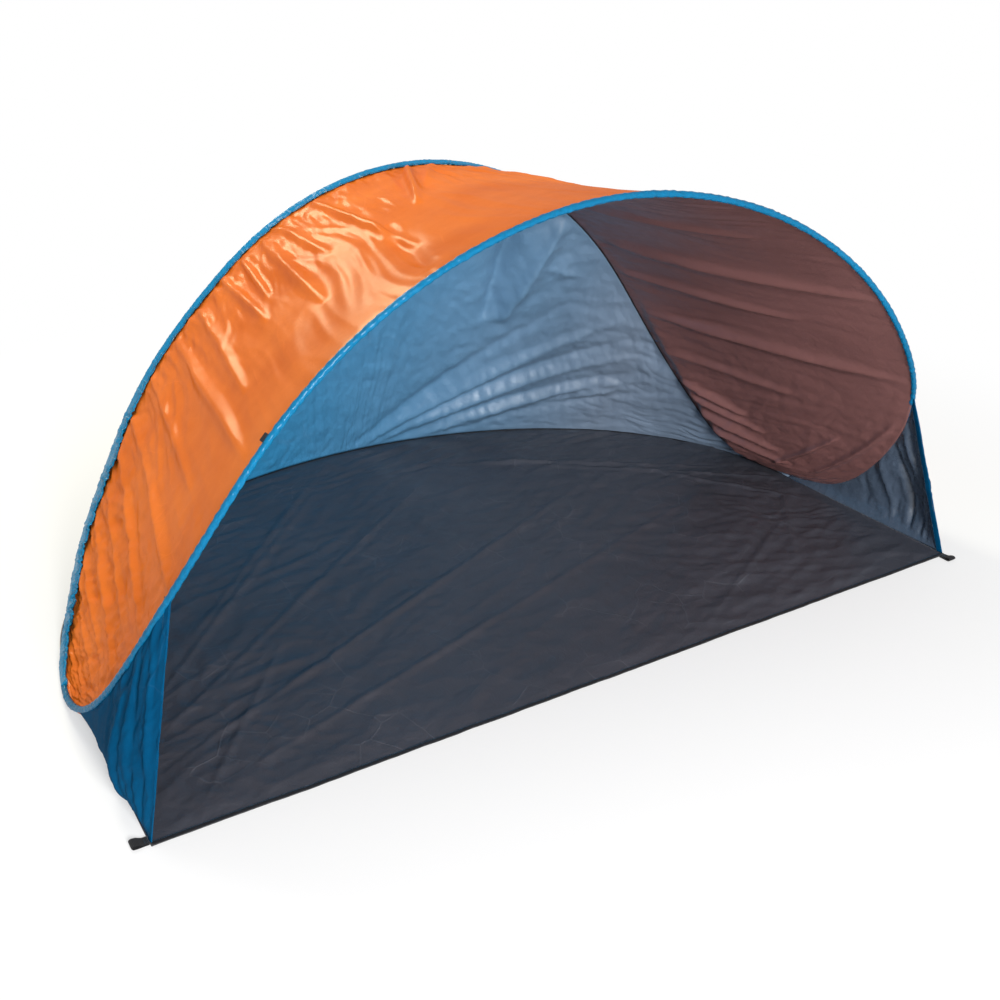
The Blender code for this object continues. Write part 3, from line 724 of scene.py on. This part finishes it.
ROOF_FOLDS = (
    (-0.010, 1.00, -0.112, 0.54, 0.016, 0.013),
    (0.035, 1.00, -0.060, 0.70, 0.005, 0.014),
    (-0.170, 1.00, -0.186, 0.26, 0.012, 0.014),
    (-0.172, 0.50, -0.222, 0.05, -0.011, 0.026),
    (-0.232, 1.00, -0.240, 0.55, 0.008, 0.014),
    (-0.262, 0.96, -0.302, 0.32, 0.013, 0.018),
    (-0.296, 1.00, -0.325, 0.62, 0.010, 0.012),
    (-0.335, 1.00, -0.352, 0.50, 0.009, 0.013),
    (-0.385, 1.00, -0.430, 0.30, 0.009, 0.016),
    (-0.444, 1.00, -0.474, 0.05, 0.011, 0.020),
    (-0.500, 1.00, -0.545, 0.25, 0.008, 0.015),
    (-0.560, 1.00, -0.626, 0.02, 0.011, 0.018),
    (-0.602, 1.00, -0.700, 0.10, 0.010, 0.016),
    (-0.650, 1.00, -0.730, 0.30, 0.008, 0.014),
    (-0.700, 1.00, -0.790, 0.10, 0.009, 0.014),
    (-0.757, 1.00, -0.820, 0.30, 0.008, 0.013),
    (-0.820, 0.95, -0.860, 0.20, 0.006, 0.012),
    (0.120, 1.00, 0.160, 0.30, 0.006, 0.020),
    (0.250, 1.00, 0.300, 0.20, -0.008, 0.020),
    (0.371, 0.98, 0.437, 0.02, -0.010, 0.022),
    (0.450, 1.00, 0.500, 0.30, -0.008, 0.016),
    (0.545, 0.98, 0.597, 0.02, -0.011, 0.020),
    (0.630, 1.00, 0.672, 0.40, -0.006, 0.014),
    (0.688, 1.00, 0.757, 0.66, -0.012, 0.011),
    (0.722, 1.00, 0.790, 0.58, -0.012, 0.011),
    (0.762, 1.00, 0.830, 0.52, -0.013, 0.012),
    (0.800, 1.00, 0.862, 0.46, -0.012, 0.012),
    (0.870, 0.60, 0.750, 0.22, -0.010, 0.014),
    (0.880, 0.30, 0.680, 0.03, -0.008, 0.016),
)


def roof_places(u, v):
    """The roof's smooth middle surface, and the way out of the tent there."""
    _, front_in, front_out = cloth_axes(FRONT, u)
    _, _, rear_out = cloth_axes(REAR, u)
    tucked = (ramp(0.56, 0.72, np.abs(u)) * ramp(1.0, 0.93, np.abs(u)))[..., None]
    front_edge = FRONT.at(u) + front_in * (0.004 - 0.014 * tucked)
    front_edge = front_edge - front_out * (0.001 + 0.009 * tucked)
    v = v[..., None]
    return front_edge * (1 - v) + rear_seam(u) * v, unit(front_out * (1 - v) + rear_out * v)


def roof_flat(u, v):
    span = np.linalg.norm(REAR.at(u) - FRONT.at(u), axis=-1)
    return u * ROOF_LENGTH, v * span


def build_roof():
    u, v = grid_shares(-CANOPY_END_SHARE, CANOPY_END_SHARE, CANOPY_STEPS)
    grid, out = roof_places(u, v)
    x, y = roof_flat(u, v)
    span = np.linalg.norm(REAR.at(u) - FRONT.at(u), axis=-1)
    behind = span - y
    sized = ramp(0, 0.45, span)
    free = ramp(0, 0.03, y) * ramp(0.01, 0.06, behind)
    slanted = x - 0.10 * (1 - v) * np.sign(u)
    calm = 1 - 0.5 * ramp(0.10, 0.35, u)
    h = -CANOPY_SAG * np.sin(math.pi * v) * sized
    pulls = streaks(slanted, y, angle=90, across=0.055, along=0.55, seed=41) * (0.3 + 0.7 * v)
    h += ROOF_PULLS * pulls * free * sized * calm
    ripples = streaks(slanted, y, angle=84, across=0.024, along=0.20, seed=45)
    h += ROOF_RIPPLES * ripples * ramp(0.25, 0.9, v) * free * calm
    h += ROOF_CREASES * crumple(x, y, size=0.07, seed=51) * ramp(0.45, 0.8, np.abs(u)) * free * calm
    lip = ramp(0.44, 0.66, u) * ramp(0.97, 0.86, u)
    h -= LIP_DEPTH * lip * behind / LIP_WIDTH * np.exp(-behind / LIP_WIDTH) * free
    h += ROOF_REAR_PUCKERS * puckers(x, behind, pitch=0.018, seed=55, fade=0.05)
    fingers = streaks(slanted, behind, angle=90, across=0.032, along=0.16, seed=47, crisp=0.3)
    h += ROOF_FINGERS * fingers * np.exp(-behind / 0.09) * ramp(0.006, 0.04, behind) * sized
    h += ROOF_FRONT_PUCKERS * puckers(x, y, pitch=0.016, seed=57, fade=0.03, start=0.010)
    h += 1.5 * folds(x, y, roof_flat, ROOF_FOLDS) * free * ramp(0, 0.25, span)
    # Under the rear sleeve the roof stays low, so that it never cuts through the sleeve
    band = BAND_REACH_SIDE * ramp(*BAND_WIDENS, np.abs(u))
    h = np.minimum(h, 0.001 + 0.03 * np.minimum(behind, band) + 0.15 * np.maximum(behind - band, 0))
    grid = grid + out * h[..., None]
    item = sheet("canopy_cloth", grid, out, CLOTH, ORANGE, MAROON, cloth_uv(grid))
    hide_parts("canopy", "canopy_end_left", "canopy_end_right")
    bend(item)


# The back wall. Its folds are given as the roof's are

WALL_FOLDS = (
    (0.215, 0.04, 0.265, 0.46, 0.030, 0.030),
    (0.305, 0.02, 0.300, 0.46, -0.030, 0.030),
    (0.313, 0.20, 0.420, 0.12, -0.007, 0.012),
    (0.060, 1.00, 0.549, 0.10, -0.016, 0.026),
    (0.080, 1.00, 0.590, 0.14, 0.014, 0.022),
    (0.020, 1.00, 0.420, 0.24, 0.012, 0.024),
    (0.100, 1.00, 0.620, 0.20, -0.014, 0.020),
    (0.160, 1.00, 0.660, 0.24, 0.011, 0.018),
    (0.260, 0.99, 0.680, 0.26, -0.011, 0.018),
    (0.340, 0.98, 0.720, 0.26, 0.009, 0.016),
    (0.480, 0.85, 0.600, 0.55, 0.008, 0.012),
    (0.530, 0.80, 0.640, 0.50, -0.007, 0.012),
    (-0.100, 0.10, -0.050, 0.80, 0.008, 0.024),
    (-0.220, 0.08, -0.330, 0.60, 0.009, 0.020),
    (-0.340, 0.10, -0.480, 0.70, -0.008, 0.020),
    (-0.500, 0.10, -0.620, 0.80, 0.008, 0.016),
    (-0.620, 0.10, -0.700, 0.80, -0.007, 0.014),
)


def floor_outline(share):
    """The groundsheet's edge behind its straight sides, by share from the back's middle."""
    low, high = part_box("floor_rear")
    straight_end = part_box("floor_front")[0].y + FLOOR_STRAIGHT_SIDE
    angles = np.linspace(0, math.pi / 2, 400)
    y = straight_end + (high.y - straight_end) * np.cos(angles)
    curved = np.stack([high.x * np.sin(angles), y, 0 * y], axis=-1)
    line = np.concatenate([curved, [[high.x, low.y, 0]]])
    run = travelled(line)
    knots = run / run[-1]
    found = np.stack([np.interp(np.abs(share), knots, line[:, i]) for i in range(3)], axis=-1)
    found[..., 0] *= np.sign(share)
    return found


def floor_outline_inset(share, inset):
    edge = floor_outline(share)
    return edge - unit(edge - [0.0, 0.1, 0.0]) * inset


def wall_places(u, v):
    foot = floor_outline_inset(np.sign(u) * np.abs(u) ** WALL_LEAN, WALL_INSET)
    foot[..., 2] = FOOT_HEIGHT
    v = v[..., None]
    return rear_seam(u) * (1 - v) + foot * v


def wall_flat(u, v):
    drop = np.linalg.norm(wall_places(u, 0 * u) - wall_places(u, 0 * u + 1), axis=-1)
    return u * REAR.length / 2, v * drop


def wall_face(u, v):
    """The wall as seen from in front, where its long folds run straight."""
    place = wall_places(u, v)
    return place[..., 0], place[..., 2]


def build_wall():
    u, v = grid_shares(-WALL_END_SHARE, WALL_END_SHARE, WALL_STEPS)
    flat = wall_places(u, v)
    out = normals(flat)
    x, y = wall_flat(u, v)
    drop = wall_flat(u, 0 * v + 1)[1]
    below = drop - y
    free = ramp(0, 0.03, y) * ramp(0, 0.03, below)
    sized = ramp(0, 0.5, drop)
    h = WALL_BULGE * np.sin(math.pi * v) * sized
    right = ramp(0.05, 0.3, u)
    pulls = streaks(x, y, angle=-50, across=0.050, along=0.60, seed=61, crisp=0.3) * right
    h += WALL_PULLS * pulls * free * sized
    pulls = streaks(x, y, angle=80, across=0.060, along=0.50, seed=63, crisp=0.4) * (1 - right)
    h += WALL_PULLS * pulls * free * sized
    ripples = streaks(x, y, angle=32, across=0.070, along=0.30, seed=73, crisp=0.9)
    h += WALL_RIPPLES * ripples * free * sized
    near_seam = np.exp(-y / 0.16) + np.exp(-below / 0.12)
    ripples = streaks(x, y, angle=-40, across=0.022, along=0.24, seed=65, crisp=0.4)
    h += WALL_SEAM_RIPPLES * ripples * near_seam * free
    h += WALL_CREASES * crumple(x, y, size=0.09, seed=67) * free * sized
    h += WALL_TOP_PUCKERS * puckers(x, y, pitch=0.020, seed=69, fade=0.04)
    h += WALL_FOOT_PUCKERS * puckers(x, below, pitch=0.022, seed=71, fade=0.04)
    h += 1.15 * folds(*wall_face(u, v), wall_face, WALL_FOLDS) * free * sized
    grid = flat + out * h[..., None]
    grid[..., 2] = np.maximum(grid[..., 2], FLOOR_LIFT)
    grid[:, (0, -1), 1] -= END_OVERLAP
    item = sheet("back_wall_cloth", grid, out, CLOTH, BLUE, SILVER, cloth_uv(grid))
    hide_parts("back_wall")
    bend(item)


def build_seams():
    """The bindings inside, where the back wall meets the roof and the groundsheet."""
    share = REAR_BINDING_END_SHARE * np.linspace(-1, 1, ARCH_STEPS // 2)
    _, inward, outward = cloth_axes(REAR, share)
    centres = rear_seam(share) - outward * 0.0012
    size = (REAR_BINDING_WIDTH, REAR_BINDING_HEIGHT)
    rings = oblong_rings(centres, inward, outward, *size, sides=10)
    top = tube("rear_seam_binding", rings, BINDING)
    bend(top)
    share = FLOOR_SEAM_END_SHARE * np.linspace(-1, 1, ARCH_STEPS // 2)
    centres = floor_outline_inset(share, WALL_INSET + SEAM_TAPE_WIDTH / 2 + 0.001)
    ease = 0.0007 * gathers(share * 1.7, pitch=0.06, seed=81)
    centres[:, 2] = FLOOR_LIFT + FLOOR_CLOTH / 2 + SEAM_TAPE_HEIGHT + ease
    along = unit(np.gradient(centres, axis=0))
    up = UP + 0 * along
    side = unit(np.cross(up, along))
    rings = oblong_rings(centres, side, up, SEAM_TAPE_WIDTH, SEAM_TAPE_HEIGHT, sides=12)
    low = tube("floor_seam_binding", rings, BINDING)
    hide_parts("floor_seam_tape")
    bend(low)


# The side wings. Their folds are given as the roof's are

WING_FOLDS = (
    (0.10, 0.05, 0.06, 0.80, 0.008, 0.012),
    (0.20, 0.03, 0.16, 0.90, -0.008, 0.014),
    (0.30, 0.05, 0.30, 0.95, 0.009, 0.013),
    (0.43, 0.05, 0.44, 0.90, -0.007, 0.014),
    (0.56, 0.05, 0.60, 0.90, 0.007, 0.012),
    (0.70, 0.05, 0.74, 0.80, -0.005, 0.010),
)


def floor_half(y):
    """Half the groundsheet's width at places in front of the fold line."""
    low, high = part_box("floor_front")
    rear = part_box("floor_rear")[1].x
    share = np.clip((y - low.y) / (high.y - low.y), 0, 1)
    return high.x + (rear - high.x) * share


def wing_places(side, u, v):
    """A wing's smooth surface: u back from its front edge, v down to the ground."""
    share = side * (WING_TOP_SHARE + u * (WING_END_SHARE - WING_TOP_SHARE))
    wire = FRONT.at(share)
    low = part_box("floor_front")[0]
    first = FRONT.at(np.array([side * WING_TOP_SHARE]))[0, 1]
    last = FRONT.at(np.array([side * WING_END_SHARE]))[0, 1]
    foot = wire.copy()
    foot[..., 1] = low.y + (wire[..., 1] - first) / (last - first) * (last - low.y)
    foot[..., 0] = side * (floor_half(foot[..., 1]) - WALL_INSET)
    foot[..., 2] = FOOT_HEIGHT
    v = v[..., None]
    return wire * (1 - v) + foot * v


def build_wing(name, side):
    u, v = grid_shares(0, 1, WING_STEPS)
    flat = wing_places(side, u, v)

    def wing_flat(a, b):
        fall = np.linalg.norm(wing_places(side, a, 0 * a) - wing_places(side, a, 0 * a + 1), axis=-1)
        return a * WING_LENGTH, b * fall

    x, y = wing_flat(u, v)
    fall = wing_flat(u, 0 * v + 1)[1]
    below = fall - y
    sized = ramp(0, 0.3, fall)
    free = ramp(0, 0.02, y) * ramp(0, 0.03, below) * (0.35 + 0.65 * ramp(0, 0.05, x))
    seed = 91 if side < 0 else 96
    pulls = streaks(x, y, angle=88, across=0.045, along=0.35, seed=seed)
    h = WING_PULLS * pulls * free * sized
    h += WING_CREASES * crumple(x, y, size=0.06, seed=seed + 1) * free * sized
    top = puckers(x, y, pitch=0.018, seed=seed + 2, fade=0.05, start=0.010)
    h += WING_TOP_PUCKERS * top * sized
    foot = puckers(x, below, pitch=0.020, seed=seed + 3, fade=0.03, start=0.010)
    h += WING_FOOT_PUCKERS * foot
    h += (1.35 + 0.25 * side) * folds(x, y, wing_flat, WING_FOLDS) * free * sized
    h += WING_BULGE * np.sin(math.pi * v**1.6) * sized * ramp(0, 0.16, x)
    out = -side * normals(flat)
    grid = flat + out * h[..., None]
    grid[..., 2] = np.maximum(grid[..., 2], FLOOR_LIFT)
    grid[:, -1, 1] += END_OVERLAP
    if side > 0:
        grid, out = grid[:, ::-1], out[:, ::-1]
    item = sheet("side_wing_cloth_" + name, grid, out, CLOTH, BLUE, SHADED_SILVER_PAINTED, cloth_uv(grid))
    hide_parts("side_wing_" + name)
    bend(item)
    hem = build_hem(name, side)


def build_hem(name, side):
    """A wing's turned front hem, with a row of stitches on each face."""
    v = np.linspace(0.015, 0.995, 120)
    edge = wing_places(side, 0 * v, v)
    back = unit(wing_places(side, 0 * v + 0.10, v) - edge)
    along = unit(np.gradient(edge, axis=0))
    back = square_to(along, back)
    out = np.cross(along, back)
    y = v * HEM_LENGTH
    sway = (0.0012 * gathers(y, pitch=0.05, seed=111) * np.sin(math.pi * v))[:, None]
    centres = edge + back * HEM_WIDTH * 0.45 + out * sway
    height = HEM_THICKNESS * (1 + 0.25 * gathers(y, pitch=0.02, seed=113))
    rings = oblong_rings(centres, back, out, HEM_WIDTH, height, sides=20)
    hem = tube("wing_hem_cloth_" + name, rings, BLUE)
    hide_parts("wing_hem_" + name)
    bend(hem)
    for face, way in (("outer", 1), ("inner", -1)):
        line = centres + back * HEM_WIDTH * 0.36 + out * way * HEM_THICKNESS * 0.5
        stitch_row("hem_stitches_" + name + "_" + face, line, out * way)
    return hem


# The groundsheet. Its own folds, in metres: from x, y to x, y; then height and width

FLOOR_FOLDS = (
    (-0.95, -0.30, -0.20, 0.52, 0.006, 0.012),
    (-1.00, -0.45, 0.10, 0.40, 0.005, 0.012),
    (-1.00, -0.55, 0.55, 0.15, 0.006, 0.012),
    (-0.90, -0.65, 0.80, -0.10, 0.005, 0.012),
    (-0.80, -0.10, -0.10, 0.68, 0.007, 0.014),
    (0.10, 0.55, 0.75, 0.20, 0.006, 0.010),
    (0.25, 0.50, 0.95, 0.02, 0.006, 0.010),
    (0.40, 0.38, 1.03, -0.12, 0.005, 0.009),
    (0.62, 0.30, 1.02, -0.30, 0.005, 0.009),
    (-0.98, -0.70, -0.60, -0.20, 0.004, 0.010),
    (0.70, -0.60, 1.02, -0.20, 0.005, 0.010),
    (0.30, -0.70, 0.90, -0.35, 0.004, 0.010),
)


def floor_places(a, t):
    """Places on the groundsheet: a from -1 to 1 across, t from its front edge to its back."""
    front_low, front_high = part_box("floor_front")
    rear_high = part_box("floor_rear")[1]
    angle = a * math.pi / 2
    straight_end = front_low.y + FLOOR_STRAIGHT_SIDE
    back = straight_end + (rear_high.y - straight_end) * np.cos(angle)
    y = front_low.y + t * (back - front_low.y)
    half = np.where(y < front_high.y, floor_half(y), rear_high.x)
    return np.stack([half * np.sin(angle), y, 0 * y], axis=-1)


def build_floor():
    a, t = grid_shares(-1, 1, FLOOR_STEPS)
    grid = floor_places(a, t)
    uv = grid[..., :2].copy()
    x, y = grid[..., 0], grid[..., 1]
    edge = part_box("floor_front")[0].y
    free = ramp(0, 0.05, y - edge) * ramp(0, 0.06, FLOOR_FREE_HALF - np.abs(x)) * ramp(1, 0.96, t)
    h = FLOOR_RIPPLES * streaks(x, y, angle=24, across=0.085, along=0.60, seed=121, crisp=0.9)
    ripples = streaks(x, y, angle=-26, across=0.070, along=0.45, seed=125, crisp=0.8)
    h += FLOOR_RIGHT_RIPPLES * ripples * ramp(0.0, 0.5, x)
    ripples = streaks(x, y, angle=8, across=0.050, along=0.40, seed=127, crisp=0.8)
    h += FLOOR_BACK_RIPPLES * ripples * ramp(0.72, 0.95, t)
    h += FLOOR_CREASES * crumple(x, y, size=0.11, seed=131)
    total = folds(x, y, lambda u, v: (u, v), FLOOR_FOLDS) + np.maximum(h + 0.001, 0)
    grid[..., 2] = FLOOR_LIFT + total * free
    up = UP + 0 * grid
    item = sheet("groundsheet", grid, up, FLOOR_CLOTH, CHARCOAL, CHARCOAL, uv)
    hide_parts("floor_front", "floor_rear")
    bend(item)
    binding = build_front_binding()


def build_front_binding():
    """Black binding folded over the groundsheet's front edge."""
    low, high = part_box("floor_front")
    x = np.linspace(low.x + 0.001, high.x - 0.001, 500)
    centres = np.stack([x, 0 * x + low.y - BINDING_WIDTH * 0.12, 0 * x], axis=-1)
    centres[:, 1] += 0.0012 * gathers(x, pitch=0.09, seed=141)
    height = BINDING_HEIGHT * (1 + 0.12 * gathers(x, pitch=0.02, seed=143))
    lift = 0.0016 * np.maximum(gathers(x, pitch=0.16, seed=145), 0)
    centres[:, 2] = height / 2 + 0.0003 + lift
    side = [0.0, 1.0, 0.0] + 0 * centres
    up = UP + 0 * centres
    rings = oblong_rings(centres, side, up, BINDING_WIDTH, height)
    binding = tube("front_edge_binding", rings, BINDING)
    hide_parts("front_edge_tape")
    bend(binding)
    line = centres + side * BINDING_WIDTH * 0.30 + up * height[:, None] * 0.5
    stitch_row("front_edge_stitches", line, up)
    return binding


# Webbing

# A peg loop's middle line, as shares of its reach and of its height
LOOP_SHARES = (
    (0.00, 0.10), (0.30, 0.10), (0.62, 0.09), (0.86, 0.14), (0.965, 0.38), (0.95, 0.68),
    (0.84, 0.88), (0.62, 0.80), (0.40, 0.48), (0.22, 0.29), (0.00, 0.28),
)

# The seam tab's middle line: out of the sleeve, and across its two layers
TAB_LINE = ((0.004, 0.0009), (0.010, 0.0010), (0.0135, 0.0), (0.010, -0.0010), (0.004, -0.0009))


def smooth_line(points, count):
    """Even places on a round curve through points."""
    points = np.asarray(points, float)
    knots = travelled(points)
    where = np.linspace(0, knots[-1], count)
    slopes = np.gradient(points, knots, axis=0)
    i = np.clip(np.searchsorted(knots, where, side="right") - 1, 0, len(knots) - 2)
    gap = (knots[i + 1] - knots[i])[:, None]
    t = (where - knots[i])[:, None] / gap
    first, last = points[i], points[i + 1]
    return (
        (2 * t**3 - 3 * t**2 + 1) * first
        + (t**3 - 2 * t**2 + t) * gap * slopes[i]
        + (3 * t**2 - 2 * t**3) * last
        + (t**3 - t**2) * gap * slopes[i + 1]
    )


def build_peg_loop(name, reach_axis, body):
    """Folded webbing that leaves the groundsheet along reach_axis, sewn at its root."""
    low, high = (np.array(corner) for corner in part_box(name))
    out = np.array(reach_axis, float)
    wide = np.cross(out, UP)
    middle = (low + high) / 2
    size = high - low
    reach, width = abs(size @ out), abs(size @ wide)
    root = middle - out * reach / 2
    root[2] = 0
    line = smooth_line(LOOP_SHARES, 60)
    centres = root + line[:, :1] * out * reach + line[:, 1:] * UP * size[2]
    along = unit(np.gradient(centres, axis=0))
    side = wide + 0 * centres
    rings = oblong_rings(centres, side, np.cross(side, along), width, WEBBING_PLY, sides=20)
    rings[..., 2] = np.maximum(rings[..., 2], 0.0002)
    loop = tube(name + "_webbing", rings, WEBBING)
    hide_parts(name)
    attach(loop, body)
    across = np.linspace(-0.42, 0.42, 30)[:, None] * width * wide
    top = LOOP_SHARES[-1][1] * size[2] + WEBBING_PLY / 2
    for row, share in (("near", 0.06), ("far", 0.20)):
        start = root + out * reach * share + UP * top
        up = UP + 0 * across
        stitch_row(name + "_stitches_" + row, start + across, up, body)


def build_seam_tab():
    """A small folded tab of webbing caught in the front sleeve's seam."""
    low, high = (np.array(corner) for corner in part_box("seam_tab"))
    middle = (low + high) / 2
    share = np.linspace(TAB_SHARE - 0.03, TAB_SHARE + 0.03, 61)
    nearest = share[np.linalg.norm(FRONT.at(share) - middle, axis=1).argmin()]
    wire = FRONT.at(np.array([nearest]))[0]
    along = FRONT.tangent(np.array([nearest]))[0]
    out = square_to(along, middle - wire)
    across = np.cross(along, out)
    line = smooth_line(TAB_LINE, 30)
    centres = wire + line[:, :1] * out + line[:, 1:] * across
    run = unit(np.gradient(centres, axis=0))
    side = along + 0 * centres
    rings = oblong_rings(centres, side, np.cross(side, run), TAB_WIDTH, TAB_PLY)
    tab = tube("seam_tab_webbing", rings, WEBBING)
    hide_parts("seam_tab")
    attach(tab, "front_arch")


# Camera, floor and light


def aim(item, place, look):
    item.location = place
    item.rotation_mode = "QUATERNION"
    item.rotation_quaternion = Vector(look).to_track_quat("-Z", "Y")
    bpy.context.scene.collection.objects.link(item)


def build_camera():
    data = bpy.data.cameras.new("camera")
    data.lens = CAMERA_LENS
    data.sensor_width = SENSOR_WIDTH
    camera = bpy.data.objects.new("camera", data)
    aim(camera, CAMERA_PLACE, CAMERA_LOOK)
    bpy.context.scene.camera = camera


def area_light(name, place, target, size, power, colour=(1, 1, 1)):
    data = bpy.data.lights.new(name, "AREA")
    data.shape = "RECTANGLE"
    data.size, data.size_y = size
    data.energy = power
    data.color = colour
    lamp = bpy.data.objects.new(name, data)
    aim(lamp, place, Vector(target) - Vector(place))


def seen_ray(tree):
    """1 for camera, mirror and glass rays, which see a white studio."""
    seen = node(tree, "LightPath", gives="Is Camera Ray")
    for kind in ("Is Glossy Ray", "Is Transmission Ray"):
        ray = node(tree, "LightPath", gives=kind)
        seen = node(tree, "Math", seen, ray, operation="MAXIMUM")
    return seen


def build_stage():
    """A pale floor that keeps the tent's shadow and turns white away from the tent."""
    size, drop = 60.0, -0.0012
    corners = [(-size, -size, drop), (size, -size, drop), (size, size, drop), (-size, size, drop)]
    mesh = bpy.data.meshes.new("stage_floor")
    mesh.from_pydata(corners, [], [(0, 1, 2, 3)])
    floor = bpy.data.objects.new("stage_floor", mesh)
    bpy.context.scene.collection.objects.link(floor)
    finish = dict(Base_Color=(0.86, 0.86, 0.86, 1), Specular_IOR_Level=0.1)
    material, tree, shader, place = new_material("pale_floor", 0.9, **finish)
    radius = node(tree, "VectorMath", place, operation="LENGTH", gives="Value")
    reach = dict(From_Min=0.6, From_Max=2.6, To_Min=0.35, To_Max=1.0)
    away = node(tree, "MapRange", Value=radius, interpolation_type="SMOOTHSTEP", **reach)
    share = node(tree, "Math", away, seen_ray(tree), operation="MULTIPLY")
    white = node(tree, "Emission", Color=(1, 1, 1, 1), Strength=1.0)
    mix = node(tree, "MixShader", share, shader.outputs["BSDF"], white)
    fill(tree, tree.nodes["Material Output"], Surface=mix)
    mesh.materials.append(material)


def build_world():
    world = bpy.data.worlds.new("studio")
    bpy.context.scene.world = world
    world.use_nodes = True
    tree = world.node_tree
    strength = node(tree, "MapRange", Value=seen_ray(tree), To_Min=0.38, To_Max=1.0)
    fill(tree, tree.nodes["Background"], Color=(1, 1, 1, 1), Strength=strength)


def build_lights():
    bpy.context.scene.view_settings.view_transform = "Standard"
    area_light("key", (-0.9, 1.5, 3.7), target=(-0.4, -0.1, 0.7), size=(1.0, 1.0), power=38)
    area_light("front", (-1.1, -4.6, 2.0), target=(0.3, 0.2, 0.4), size=(1.2, 1.2), power=300)
    evening = (1.0, 0.93, 0.62)
    area_light("rim", (-0.5, 3.2, 2.35), (-0.5, 0.0, 0.9), (1.3, 0.9), power=84, colour=evening)


build_camera()
build_world()
build_stage()
build_lights()
build_wire()
build_piping()
build_band()
build_roof()
build_wall()
build_seams()
build_wing("left", -1)
build_wing("right", 1)
build_floor()
build_peg_loop("peg_loop_front_left", (-1, 0, 0), "loop_front_left")
build_peg_loop("peg_loop_front_right", (0, -1, 0), "loop_front_right")
build_peg_loop("peg_loop_rear", (0, 1, 0), "loop_rear")
build_seam_tab()
